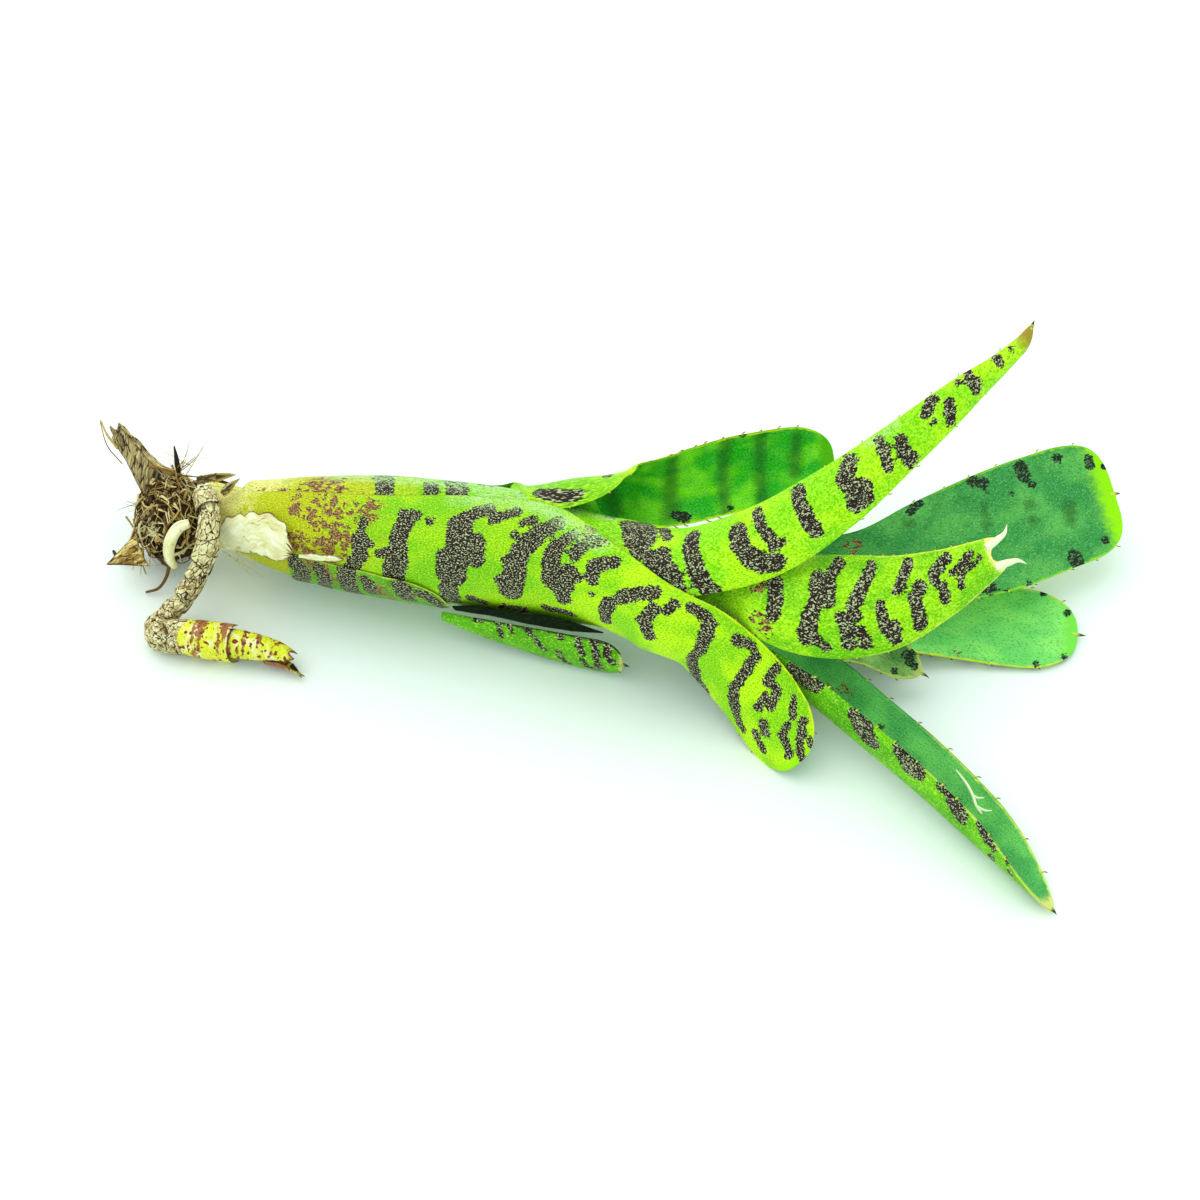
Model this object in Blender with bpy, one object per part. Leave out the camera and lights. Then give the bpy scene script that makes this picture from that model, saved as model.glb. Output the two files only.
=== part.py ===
"""A young neoregelia lifted with bare roots and lying on its side.

Everything is in metres with +Z up. The plant lies along +X, roots at -X and leaf tips at +X, and the
surface it rests on is Z = 0. Tables are in millimetres and are turned into metres by MM.

The leaves are the real plant's: their bases are sheaths nested round one short stem, like layers of a
tube, and their blades fan out of its mouth. A leaf is an open sheet given thickness by a Solidify
modifier. The stem, the runners and the roots are swept round sections.
"""

import math

import bmesh
import bpy
import numpy as np
from mathutils import Vector, noise

MM = 0.001
ORIGIN = (1.95, -10.4, 0.15)  # taken from every point, so that the box's bottom centre is the origin

# Axes that sheaths are wrapped round: point x, y, z and the radius of the outermost sheath.
TUBE = (
    (-84, 29.0, 10.0, 7.5),
    (-80, 28.0, 10.6, 8.0),
    (-75, 26.5, 11.5, 8.8),
    (-62, 21.0, 14.6, 11.6),
    (-41, 15.8, 17.5, 13.8),
    (-20, 11.5, 18.5, 14.2),
    (0, 5.0, 19.5, 13.2),
    (12, 0.8, 20.0, 12.0),
    (24, -3.0, 20.5, 11.6),
)
LAYER_PITCH = 1.3  # radial step from one sheath of the tube to the next one inside it
STOLON = (
    (-81.0, 24.5, 19.6, 2.5),
    (-79.2, 19.0, 20.4, 2.4),
    (-79.0, 14.0, 18.0, 2.3),
    (-81.2, 9.8, 12.4, 2.2),
    (-84.8, 6.4, 7.4, 2.1),
    (-88.6, 3.8, 4.2, 2.1),
)
PUP = (
    (-90.0, -0.4, 3.6, 2.6),
    (-85.5, -0.6, 4.1, 3.4),
    (-78.4, -1.9, 4.4, 3.8),
    (-70.0, -3.3, 4.2, 3.6),
    (-65.2, -4.4, 3.7, 3.1),
    (-58.8, -7.8, 2.6, 2.1),
)

LEAF_THICKNESS = 0.8
SCALE_THICKNESS = 0.3
LEAF_GRID = (18, 10)
PUP_GRID = (8, 10)
SCALE_GRID = (5, 10)
MARGIN_RATIO = 0.45  # a leaf's margins are this much thinner than its middle
GROUND_CLEAR = 0.3  # height of the root ball's flattened underside
NARROWEST = 0.06  # a whole leaf's end, as a share of the width there
TUBE_MOUTH = 16  # x where the leaves' sheaths end and their blades begin


def unit(vectors):
    return vectors / np.linalg.norm(vectors, axis=-1, keepdims=True)


def lengths(rows):
    """Distance along the rows' points, from 0 at the first row."""
    steps = np.linalg.norm(np.diff(np.asarray(rows, float)[:, :3], axis=0), axis=1)
    return np.concatenate([[0.0], np.cumsum(steps)])


def spline_rows(rows, places):
    """Rows joined smoothly, read at places that run from 0 at the first row to 1 at the last."""
    rows = np.array(rows, float)
    knots = lengths(rows)
    slopes = np.gradient(rows, knots, axis=0)
    at = np.clip(np.asarray(places, float), 0, 1) * knots[-1]
    i = np.clip(np.searchsorted(knots, at, side="right") - 1, 0, len(knots) - 2)
    span = (knots[i + 1] - knots[i])[:, None]
    t = (at - knots[i])[:, None] / span
    return (
        (2 * t**3 - 3 * t**2 + 1) * rows[i]
        + (t**3 - 2 * t**2 + t) * span * slopes[i]
        + (3 * t**2 - 2 * t**3) * rows[i + 1]
        + (t**3 - t**2) * span * slopes[i + 1]
    )


def axis_frame(axis, place):
    """Centre, radius and the two directions across an axis, up and front, at a place from 0 to 1."""
    before, here, after = spline_rows(axis, [place - 0.02, place, place + 0.02])
    along = unit(after[:3] - before[:3])
    up = unit(np.array([0, 0, 1.0]) - along[2] * along)
    return here[:3], here[3], up, np.cross(along, up)


def sheath(axis, depth, *stations):
    """Rows for a sheath that lies depth inside an axis's radius. A station is the place on the axis, the
    midrib's angle from the top towards the front and the angle that the sheath wraps, in degrees."""
    rows = []
    for place, angle, wrap in stations:
        centre, radius, up, front = axis_frame(axis, place)
        radius -= depth
        out = math.cos(math.radians(angle)) * up + math.sin(math.radians(angle)) * front
        rows.append((*(centre + radius * out), *-out, radius * math.radians(wrap), wrap))
    return rows


def tube_sheath(layer, *stations):
    """A leaf's sheath on the tube, as for sheath, but with each station's place given by its x."""
    xs = [row[0] for row in TUBE]
    shares = lengths(TUBE) / lengths(TUBE)[-1]
    placed = [(float(np.interp(x, xs, shares)), angle, wrap) for x, angle, wrap in stations]
    return sheath(TUBE, layer * LAYER_PITCH, *placed)


# Leaves from the outermost sheath inwards. A blade's row is its midrib point, the way its upper side
# faces, its width round the curve and the angle that it curls through, in degrees. The optional keys are
#   tip     length of the rounded end, and the exponent that rounds it: 1 is a point, 2 an ellipse
#   end     width left at the very end, as a share, for a leaf that is torn off
#   notch   depth of the bite out of a torn end
#   crease  1 bends a blade evenly across, and less gathers the bend at the midrib like a fold
#   grid    rings along the leaf and columns across it
LEAVES = {
    "small_lower_leaf": {
        "rows": [
            (-32, 1.6, 7.8, 0, 1, 0.1, 3, 40),
            (-26, -0.6, 7.4, 0, 1, 0.1, 5.5, 40),
            (-20, -2.4, 6.8, 0, 1, 0.1, 7.5, 40),
            (-12, -5.0, 6.4, 0, 1, 0.1, 10, 40),
            (-4, -7.4, 6.2, 0, 1, 0.1, 11.4, 45),
            (4.6, -9.4, 6.0, 0, 1, 0.1, 11.4, 50),
        ],
        "tip": (6, 2.4),
        "grid": (14, 8),
    },
    "front_leaf": {
        "rows": tube_sheath(1, (-79, 75, 145), (-62, 80, 150), (-42, 83, 154), (-20, 80, 170), (-8, 78, 180))
        + [
            (2, -9.2, 24.2, 0.0, 0.95, -0.3, 23, 116),
            (8.5, -13.3, 24.8, 0.2, 0.9, -0.4, 18, 98),
            (14, -15.2, 23.3, 0.35, 0.83, -0.44, 16.6, 90),
            (19, -16.2, 20.7, 0.35, 0.83, -0.44, 16.8, 88),
            (24, -18.5, 16.5, 0.35, 0.83, -0.44, 18, 90),
            (29.5, -22.8, 12.2, 0.35, 0.83, -0.44, 18.5, 85),
            (34.5, -28.4, 7.4, 0.35, 0.83, -0.44, 17.5, 80),
            (38.5, -33.1, 4.3, 0.35, 0.83, -0.44, 15, 75),
        ],
        "tip": (10, 2.4),
        "grid": (22, 12),
    },
    "back_leaf": {
        "rows": tube_sheath(1, (-79, -118, 96), (-60, -118, 98), (-38, -116, 106))
        + tube_sheath(0.5, (-16, -92, 114))
        + [
            (-4, 21.6, 26.4, 0, -0.87, -0.5, 23.5, 138),
            (5, 24.5, 22.6, 0.1, -0.97, 0.1, 20, 110),
            (14, 25.0, 21, 0.1, -0.8, 0.5, 17, 80),
            (29, 30, 20, 0.1, -0.75, 0.6, 16.5, 60),
            (41, 33.5, 18.8, 0.0, -0.7, 0.6, 16, 55),
            (48.5, 36, 18.0, 0.0, -0.7, 0.6, 13, 50),
        ],
        "tip": (10, 2.4),
    },
    "short_leaf": {
        "rows": tube_sheath(1.9, (-70, 150, 85), (-50, 150, 85), (-20, 154, 76))
        + tube_sheath(2, (4, 157, 62))
        + [
            (20, -5.8, 8.4, 0.1, 0.2, 0.97, 9.5, 62),
            (32, -6.8, 7.8, 0.0, -0.1, 1, 9, 60),
            (43, -6.2, 7.6, 0.0, -0.1, 1, 9.5, 60),
            (52, -5.6, 6.6, -0.1, -0.2, 1, 8.6, 70),
            (60.4, -8.1, 5.1, -0.3, -0.3, 0.9, 8.2, 80),
            (64.6, -10.0, 4.1, -0.3, -0.3, 0.9, 7, 80),
        ],
        "tip": (6, 1.8),
        "grid": (16, 8),
    },
    "raised_leaf": {
        "rows": tube_sheath(2, (-72, 5, 165), (-50, 5, 160))
        + tube_sheath(2.4, (-20, 10, 148), (2, 13, 150))
        + [
            (17, -4.0, 33.6, 0.1, 0.3, -0.95, 17.6, 112),
            (30, -4.5, 38, 0.3, 0.5, -0.8, 16.5, 95),
            (44, -1, 46, 0.35, 0.6, -0.7, 14, 80),
            (57, 5.8, 53.2, 0.3, 0.7, -0.6, 10.6, 80),
            (70, 15.4, 58, 0.2, 0.8, -0.5, 7.6, 90),
            (78.2, 23.2, 58.6, 0.1, 0.85, -0.4, 5.0, 110),
            (82.4, 28.0, 59.4, 0.1, 0.88, -0.35, 3.8, 120),
            (84.2, 31.6, 60.4, 0.1, 0.9, -0.3, 3.2, 120),
        ],
        "tip": (6, 1.6),
        "grid": (20, 12),
    },
    "ground_leaf": {
        "rows": tube_sheath(2.9, (-68, 205, 110), (-45, 203, 110), (-15, 200, 102), (6, 196, 88))
        + [
            (20, 5.0, 9.8, 0.0, -0.1, 1, 11, 65),
            (32, 5.8, 8.2, 0.0, -0.1, 1, 12, 50),
            (52, 4.5, 5.5, 0.0, -0.1, 1, 17, 40),
            (72, 4.8, 2.0, 0.0, -0.1, 1, 19.5, 30),
            (88, 3.3, 1.0, 0.0, -0.1, 1, 19.5, 25),
            (97.5, 2.0, 1.5, 0.0, -0.1, 1, 17, 20),
        ],
        "tip": (10, 2.4),
        "grid": (18, 8),
    },
    "channel_leaf": {
        "rows": tube_sheath(4, (-62, 130, 96), (-40, 130, 96), (-12, 132, 82), (12, 134, 72))
        + [
            (22, -5.6, 13.0, 0.15, 0.4, 0.9, 11, 85),
            (30, -10.2, 12.2, 0.3, 0.4, 0.87, 15, 105),
            (39.8, -17.9, 7.9, 0.36, 0.32, 0.87, 21, 145),
            (49.6, -26.7, 5.3, 0.36, 0.34, 0.87, 21.5, 152),
            (61.2, -38.2, 3.9, 0.36, 0.34, 0.87, 20.5, 152),
            (73.4, -51.8, 2.6, 0.36, 0.34, 0.87, 17.5, 150),
            (85.5, -65, 1.4, 0.36, 0.34, 0.87, 12, 140),
        ],
        "tip": (22, 1.7),
        "crease": 0.4,
        "grid": (20, 12),
    },
    "broad_leaf": {
        "rows": tube_sheath(4.4, (-62, 245, 100), (-40, 243, 96), (-10, 240, 90), (10, 238, 84))
        + [
            (36, 6.6, 13.0, 0.1, -0.4, 0.9, 17, 100),
            (54, 9.2, 12.8, 0.0, -0.5, 0.87, 17.5, 60),
            (68, 14.2, 13, 0.0, -0.5, 0.87, 22.5, 40),
            (80, 19, 13, 0.0, -0.5, 0.87, 25.5, 30),
            (92, 25.0, 12.7, 0.0, -0.5, 0.87, 25.5, 25),
            (100, 28.6, 12.5, 0.0, -0.5, 0.87, 24.5, 25),
            (107, 31.0, 12.3, 0.0, -0.5, 0.87, 20, 25),
        ],
        "tip": (7, 3.2),
    },
    "inner_leaf": {
        "rows": tube_sheath(5, (-56, 55, 165), (-35, 55, 160), (-8, 50, 145), (12, 45, 120))
        + [
            (25, -6, 27.5, 0.1, 0.6, -0.8, 15, 110),
            (33, -10.5, 29, 0.0, 0.62, -0.78, 20, 95),
            (42, -14, 30, 0.0, 0.64, -0.77, 22, 85),
            (54, -14, 30.5, 0.0, 0.64, -0.77, 20.5, 75),
            (66, -9, 30.5, 0.0, 0.66, -0.75, 14.5, 65),
            (79, -0.5, 30.5, 0.0, 0.7, -0.7, 7, 60),
        ],
        "tip": (3, 3),
        "end": 0.75,
        "notch": 3,
        "grid": (20, 12),
    },
}

# Thin dry pieces: rows as for a blade, length of the tip and its exponent, and grid.
DRY_PIECES = {
    "torn_sheath": (
        tube_sheath(0.2, (-60, 112, 76), (-50, 116, 76), (-42, 118, 72))
        + tube_sheath(0.05, (-34, 121, 60), (-30, 132, 24)),
        None,
        (8, 6),
    ),
    "under_sheath": (
        tube_sheath(-0.1, (-27, 119, 18), (-22, 117, 27))
        + tube_sheath(-0.4, (-12, 116, 30), (-4, 112, 36), (0.5, 111, 36), (4.5, 113, 26)),
        None,
        (9, 5),
    ),
    "papery_bract": (
        tube_sheath(-0.8, (-73.6, 84, 24), (-70.6, 74, 46), (-66.0, 60, 44), (-61.8, 58, 46))
        + tube_sheath(-0.8, (-59.6, 65, 34), (-56.8, 70, 6)),
        None,
        (10, 6),
    ),
    "bract_strip": (tube_sheath(-0.8, (-56.2, 70, 6), (-52, 69, 8), (-47.5, 67, 6)), (2, 2), (5, 2)),
    "base_scale": (
        [(-94.3, 17.6, 10.4, 0.1, 0.5, -0.8, 7.8, 80), (-96.8, 17.0, 9.4, 0.1, 0.5, -0.8, 6, 75)]
        + [(-101.4, 15.8, 7.6, 0.1, 0.5, -0.8, 3, 70)],
        (7, 1.3),
        (6, 4),
    ),
    "dark_bract": (tube_sheath(-1.3, (-73.4, 24, 10), (-72.4, 16, 16), (-70.6, 4, 10)), (4, 1.2), (5, 4)),
    "rear_bract": (
        [(-82.6, 27.6, 20.4, 0.1, 0.3, -0.9, 2.6, 70), (-78.6, 28.2, 20.8, 0.1, 0.3, -0.9, 2.4, 60)]
        + [(-74.4, 28.4, 21.2, 0.1, 0.3, -0.9, 1.6, 50)],
        (4, 1.3),
        (5, 3),
    ),
}

# The pup's own nested sheaths: depth inside its axis's radius, stations, length and exponent of the tip,
# width left at the end and depth of the tear there.
PUP_SHEATHS = {
    "pup_outer_sheath": (
        0.0,
        ((0.1, 60, 300), (0.24, 58, 295), (0.38, 55, 285), (0.52, 50, 250)),
        (3, 2),
        0.8,
        1.4,
    ),
    "pup_inner_sheath": (
        0.9,
        ((0.4, 15, 230), (0.54, 10, 228), (0.66, 5, 220), (0.78, 0, 180), (0.9, -10, 130)),
        (4, 2),
        0.4,
        1.5,
    ),
    "pup_lower_leaf": (0.5, ((0.72, 150, 110), (0.86, 140, 125), (1.0, 120, 120)), (6, 1.3), 0.1, 0.0),
}
# Scales on the stolon: where each one starts along it, and the angle of its middle.
STOLON_SCALES = ((0.01, 40), (0.22, 70), (0.36, 30), (0.49, 80), (0.63, 40), (0.77, 75))
SCALE_REACH = 0.17  # a scale's length, as a share of the stolon
SCALE_WRAP = 310
SCALE_FLARE = 1.1  # how much further out a scale's free end stands than its base
SCALE_TIP = (2, 1.5)
SCALE_END = 0.5
SCALE_SHAPE = ((0, 1), (0.5, 0.9), (1, 0.7))  # how far along it, and how much of its wrap is left there
STOLON_CORE = 0.7  # the stolon's own radius, as a share of the radius over its scales

# Swept pieces: rows of x, y, z and radius, then sides, rings and how rough the surface is.
STEM = ((-80.9, 28.3, 10.4, 5.8), (-72, 25.3, 12.3, 4.8), (-62, 21.0, 14.0, 3.2), (-54, 19.0, 15.4, 1.6))
SWEPT_PIECES = {
    "stem": (STEM, 12, 6, 0.05),
    "old_stolon_stub": (
        ((-92.9, 33.2, 15.2, 3.0), (-95.2, 35.8, 16.8, 2.6), (-98.0, 38.9, 18.8, 2.1))
        + ((-100.9, 42.1, 20.3, 1.7),),
        10,
        8,
        0.25,
    ),
    "stub_thread": (
        ((-100.2, 38.2, 18.4, 0.3), (-102.6, 41.2, 19.4, 0.25), (-104.2, 44.4, 20.4, 0.2)),
        5,
        5,
        0.1,
    ),
    "stolon": (tuple((*row[:3], row[3] * STOLON_CORE) for row in STOLON), 10, 12, 0.06),
    "pup_core": (
        ((-90.2, 0.4, 3.7, 1.5), (-85.5, -0.6, 4.1, 1.9), (-78.4, -1.9, 4.4, 1.9), (-73.0, -2.8, 4.1, 1.0)),
        8,
        6,
        0.1,
    ),
    "curved_root": (
        ((-83.4, 17.6, 18.2, 0.9), (-85.4, 17.0, 17.8, 1.1), (-87.3, 14.9, 15.6, 1.2))
        + ((-87.6, 13.2, 12.4, 1.0), (-86.8, 12.8, 10.2, 0.7)),
        8,
        8,
        0.15,
    ),
    "curved_root_tail": (
        ((-88.6, 15.6, 7.4, 0.4), (-89.6, 14.8, 4.4, 0.35), (-91.4, 14.0, 2.0, 0.3))
        + ((-94.0, 14.0, 0.8, 0.25),),
        5,
        6,
        0.1,
    ),
    "thorn_root": (
        ((-86.8, 31.0, 20.2, 0.55), (-87.0, 32.0, 22.6, 0.4), (-87.2, 32.8, 25.0, 0.2)),
        5,
        4,
        0.1,
    ),
    "wiry_root_back": (
        ((-85, 35.2, 11.0, 0.6), (-82.5, 38.6, 8.4, 0.5), (-79, 41.0, 4.4, 0.4), (-76, 41.6, 1.0, 0.3)),
        5,
        6,
        0.2,
    ),
    "wiry_root_low": (
        ((-95.4, 22.8, 4.0, 0.6), (-98.0, 22.4, 2.4, 0.5), (-100.6, 23.2, 1.2, 0.4))
        + ((-102.0, 25.4, 0.7, 0.3),),
        5,
        6,
        0.2,
    ),
}
ROOT_BALL_CENTRE = (-89.0, 26.4, 9.6)
ROOT_BALL_RADII = (6.9, 8.8, 9.4)
ROOT_BALL_LUMPS = 0.18  # how far the ball's surface strays, as a share of its radius
ROOT_BALL_DETAIL = 2


def leaf_rows(rows, crease):
    """The rows with each one's crease added: 1 in the sheath, which is never folded."""
    rows = np.array(rows, float)
    return np.column_stack([rows, np.where(rows[:, 0] > TUBE_MOUTH, crease, 1.0)])


def sheet_points(rows, places, columns, tip=None, end=NARROWEST, notch=0.0):
    """A curved sheet's grid of points, base to tip and margin to margin, in millimetres."""
    total = lengths(rows)[-1]
    row = spline_rows(rows, places)
    middle, facing, width, wrap = row[:, :3], row[:, 3:6], row[:, 6], np.radians(row[:, 7])
    crease = row[:, 8]
    left = (1 - np.asarray(places)) * total
    if tip:
        into_tip = np.clip(1 - left / tip[0], 0, 1)
        taper = np.maximum(1 - into_tip ** tip[1], 0) ** (1 / tip[1])
        width *= end + (1 - end) * taper
        wrap *= end + (1 - end) * taper
    along = unit(np.gradient(middle, axis=0))
    facing = unit(facing - np.sum(facing * along, axis=1, keepdims=True) * along)
    across = np.cross(facing, along)
    share = np.linspace(-1, 1, columns + 1)
    half = (share[1:] + share[:-1]) / 2
    bite = notch * np.clip(1 - left / (2 * notch + 0.01), 0, 1)
    points = []
    for k in range(len(row)):
        turn = wrap[k] / 2 * np.sign(half) * np.abs(half) ** crease[k]
        step = width[k] / columns
        sideways = np.concatenate([[0], np.cumsum(np.cos(turn))]) * step
        inwards = np.concatenate([[0], np.cumsum(np.sin(turn))]) * step
        sideways -= np.interp(0, share, sideways)
        inwards -= np.interp(0, share, inwards)
        points.append(
            middle[k]
            + sideways[:, None] * across[k]
            + inwards[:, None] * facing[k]
            - bite[k] * (1 - share[:, None] ** 2) * along[k]
        )
    return np.array(points)


def ring_places(rings, total, tip_length):
    """Where the rings lie, from 0 at the base to 1 at the tip, closer together in the rounded end."""
    tip_share = tip_length / total
    in_tip = max(4, rings // 4)
    body = np.linspace(0, 1 - tip_share, rings - in_tip, endpoint=False)
    return np.concatenate([body, 1 - tip_share * (1 - np.sin(np.linspace(0, math.pi / 2, in_tip)))])


def material(name, colour, roughness):
    made = bpy.data.materials.new(name)
    made.use_nodes = True
    shader = made.node_tree.nodes["Principled BSDF"]
    shader.inputs["Base Color"].default_value = (*colour, 1)
    shader.inputs["Roughness"].default_value = roughness
    return made


def add_object(name, points, faces, finish):
    """An object from points in millimetres."""
    mesh = bpy.data.meshes.new(name)
    mesh.from_pydata([tuple(p) for p in (np.asarray(points) - ORIGIN) * MM], [], faces)
    mesh.materials.append(finish)
    mesh.shade_smooth()
    made = bpy.data.objects.new(name, mesh)
    bpy.context.scene.collection.objects.link(made)
    return made


def add_sheet(name, grid, finish, thickness):
    """A grid of points made into a closed sheet that is thinner at its two long margins."""
    rings, columns = grid.shape[:2]
    faces = [
        (r * columns + c, r * columns + c + 1, (r + 1) * columns + c + 1, (r + 1) * columns + c)
        for r in range(rings - 1)
        for c in range(columns - 1)
    ]
    made = add_object(name, grid.reshape(-1, 3), faces, finish)
    group = made.vertex_groups.new(name="thick")
    for c in range(columns):
        edge = abs(2 * c / (columns - 1) - 1)
        group.add([r * columns + c for r in range(rings)], 1 - (1 - MARGIN_RATIO) * edge**3, "REPLACE")
    solid = made.modifiers.new("Solidify", "SOLIDIFY")
    solid.thickness = thickness * MM
    solid.offset = 0
    solid.vertex_group = group.name
    return made


def add_leaf(name, leaf, finish):
    rings, columns = leaf.get("grid", LEAF_GRID)
    rows = leaf_rows(leaf["rows"], leaf.get("crease", 1))
    places = ring_places(rings, lengths(rows)[-1], leaf["tip"][0])
    grid = sheet_points(rows, places, columns, leaf["tip"], leaf.get("end", NARROWEST), leaf.get("notch", 0))
    return add_sheet(name, grid, finish, LEAF_THICKNESS)


def add_swept(name, rows, finish, sides=8, rings=8, ridge=0.0, seed=0):
    """A round section swept along rows of x, y, z and radius, closed at both ends. ridge is how far its
    surface strays, as a share of the radius."""
    row = spline_rows(rows, np.linspace(0, 1, rings))
    middle, radius = row[:, :3], row[:, 3]
    along = unit(np.gradient(middle, axis=0))
    side = np.array([0.3, 0.2, 1.0])
    points = []
    for k in range(rings):
        side = unit(side - np.dot(side, along[k]) * along[k])
        other = np.cross(along[k], side)
        for s in range(sides):
            turn = 2 * math.pi * s / sides
            stray = ridge * noise.noise(Vector((math.cos(turn) * 1.3, math.sin(turn) * 1.3, k * 0.7 + seed)))
            reach = radius[k] * (1 + stray)
            points.append(middle[k] + reach * (math.cos(turn) * side + math.sin(turn) * other))
    faces = [
        (k * sides + s, k * sides + (s + 1) % sides, (k + 1) * sides + (s + 1) % sides, (k + 1) * sides + s)
        for k in range(rings - 1)
        for s in range(sides)
    ]
    faces.append(tuple(range(sides))[::-1])
    faces.append(tuple((rings - 1) * sides + s for s in range(sides)))
    return add_object(name, points, faces, finish)


def add_root_ball(finish):
    """The matted roots: a lumpy ball, flattened where it rests on the ground."""
    shape = bmesh.new()
    bmesh.ops.create_icosphere(shape, subdivisions=ROOT_BALL_DETAIL, radius=1)
    for vertex in shape.verts:
        lump = noise.noise(vertex.co * 1.7) + 0.5 * noise.noise(vertex.co * 4.1)
        vertex.co *= 1 + ROOT_BALL_LUMPS * lump
        point = np.array(ROOT_BALL_CENTRE) + np.array(vertex.co) * ROOT_BALL_RADII
        point[2] = max(point[2], GROUND_CLEAR)
        vertex.co = Vector((point - ORIGIN) * MM)
    mesh = bpy.data.meshes.new("root_ball")
    shape.to_mesh(mesh)
    shape.free()
    mesh.materials.append(finish)
    mesh.shade_smooth()
    bpy.context.scene.collection.objects.link(bpy.data.objects.new("root_ball", mesh))


def build():
    for old in list(bpy.data.objects):
        bpy.data.objects.remove(old, do_unlink=True)
    green = material("leaf green", (0.25, 0.55, 0.02), 0.45)
    pup_yellow = material("pup yellow", (0.6, 0.6, 0.05), 0.5)
    bract_tan = material("dry bract", (0.75, 0.72, 0.5), 0.8)
    stolon_tan = material("stolon tan", (0.45, 0.4, 0.25), 0.8)
    root_brown = material("root brown", (0.12, 0.08, 0.03), 0.9)

    for name, leaf in LEAVES.items():
        add_leaf(name, leaf, green)

    for name, (rows, tip, (rings, columns)) in DRY_PIECES.items():
        places = ring_places(rings, lengths(rows)[-1], tip[0]) if tip else np.linspace(0, 1, rings)
        sheet = sheet_points(leaf_rows(rows, 1), places, columns, tip)
        add_sheet(name, sheet, green if name.endswith("_sheath") else bract_tan, SCALE_THICKNESS)

    for name, (depth, stations, tip, end, tear) in PUP_SHEATHS.items():
        rows = leaf_rows(sheath(PUP, depth, *stations), 1)
        places = ring_places(PUP_GRID[0], lengths(rows)[-1], tip[0])
        sheet = sheet_points(rows, places, PUP_GRID[1], tip, end, tear)
        add_sheet(name, sheet, pup_yellow, SCALE_THICKNESS)

    for k, (place, angle) in enumerate(STOLON_SCALES, 1):
        rows = []
        for share, closed in SCALE_SHAPE:
            station = (place + share * SCALE_REACH, angle, SCALE_WRAP * closed)
            rows += sheath(STOLON, -share * SCALE_FLARE, station)
        places = np.linspace(0, 1, SCALE_GRID[0])
        sheet = sheet_points(leaf_rows(rows, 1), places, SCALE_GRID[1], SCALE_TIP, SCALE_END)
        add_sheet(f"stolon_scale_{k}", sheet, stolon_tan, SCALE_THICKNESS)

    for seed, (name, (rows, sides, rings, ridge)) in enumerate(SWEPT_PIECES.items()):
        finish = pup_yellow if name == "pup_core" else root_brown if "root" in name else stolon_tan
        add_swept(name, rows, finish, sides, rings, ridge, seed)
    add_root_ball(root_brown)


build()
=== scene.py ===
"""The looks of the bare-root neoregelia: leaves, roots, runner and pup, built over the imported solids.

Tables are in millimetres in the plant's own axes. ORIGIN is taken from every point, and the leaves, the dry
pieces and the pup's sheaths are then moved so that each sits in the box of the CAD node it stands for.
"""

import math

import bpy
import numpy as np
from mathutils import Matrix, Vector


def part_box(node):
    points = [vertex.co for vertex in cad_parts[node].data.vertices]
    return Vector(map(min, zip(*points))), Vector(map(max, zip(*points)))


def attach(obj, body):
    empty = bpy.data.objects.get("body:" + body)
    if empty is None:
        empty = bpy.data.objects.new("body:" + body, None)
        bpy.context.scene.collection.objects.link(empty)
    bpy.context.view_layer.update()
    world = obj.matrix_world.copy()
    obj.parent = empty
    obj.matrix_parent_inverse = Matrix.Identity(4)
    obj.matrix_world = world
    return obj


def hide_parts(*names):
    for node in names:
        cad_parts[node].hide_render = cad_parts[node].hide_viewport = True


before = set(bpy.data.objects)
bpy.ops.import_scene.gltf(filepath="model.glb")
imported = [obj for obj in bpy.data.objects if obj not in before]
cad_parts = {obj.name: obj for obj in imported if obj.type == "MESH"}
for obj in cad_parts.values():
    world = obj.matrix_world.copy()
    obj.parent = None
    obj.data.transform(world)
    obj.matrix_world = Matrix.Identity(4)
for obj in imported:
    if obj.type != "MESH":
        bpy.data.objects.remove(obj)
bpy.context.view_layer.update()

MM = 0.001
ORIGIN = np.array([1.95, -10.4, 0.15])

# ---------------------------------------------------------------- axes, sheaths and leaves, as in part.py
TUBE = (
    (-84, 29, 10, 7.5), (-80, 28, 10.6, 8), (-75, 26.5, 11.5, 8.8), (-62, 21, 14.6, 11.6),
    (-41, 15.8, 17.5, 13.8), (-20, 11.5, 18.5, 14.2), (0, 5, 19.5, 13.2), (12, 0.8, 20, 12),
    (24, -3, 20.5, 11.6),
)
LAYER_PITCH = 1.3
STOLON = (
    (-81, 24.5, 19.6, 2.5), (-79.2, 19, 20.4, 2.4), (-79, 14, 18, 2.3), (-81.2, 9.8, 12.4, 2.2),
    (-84.8, 6.4, 7.4, 2.1), (-88.6, 3.8, 4.2, 2.1),
)
PUP = (
    (-90, -0.4, 3.6, 2.6), (-85.5, -0.6, 4.1, 3.4), (-78.4, -1.9, 4.4, 3.8), (-70, -3.3, 4.2, 3.6),
    (-65.2, -4.4, 3.7, 3.1), (-58.8, -7.8, 2.6, 2.1),
)
LEAF_THICKNESS = 0.8
MARGIN_RATIO = 0.45  # thickness of a margin, as a share of the middle's
NARROWEST = 0.06  # width left at a leaf's very end, as a share
TUBE_MOUTH = 16  # where the sheaths open into blades, in x
STRIPE_PITCH = 7.5  # from one plain band to the next
UNMARKED = 9.0  # distance given to skin that is far from any patch or margin
LEAF_RINGS, LEAF_COLUMNS = 200, 60  # how finely a leaf is meshed, along and across


def unit(vectors):
    return vectors / np.maximum(np.linalg.norm(vectors, axis=-1, keepdims=True), 1e-9)


def lengths(rows):
    steps = np.linalg.norm(np.diff(np.asarray(rows, float)[:, :3], axis=0), axis=1)
    return np.concatenate([[0.0], np.cumsum(steps)])


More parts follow.
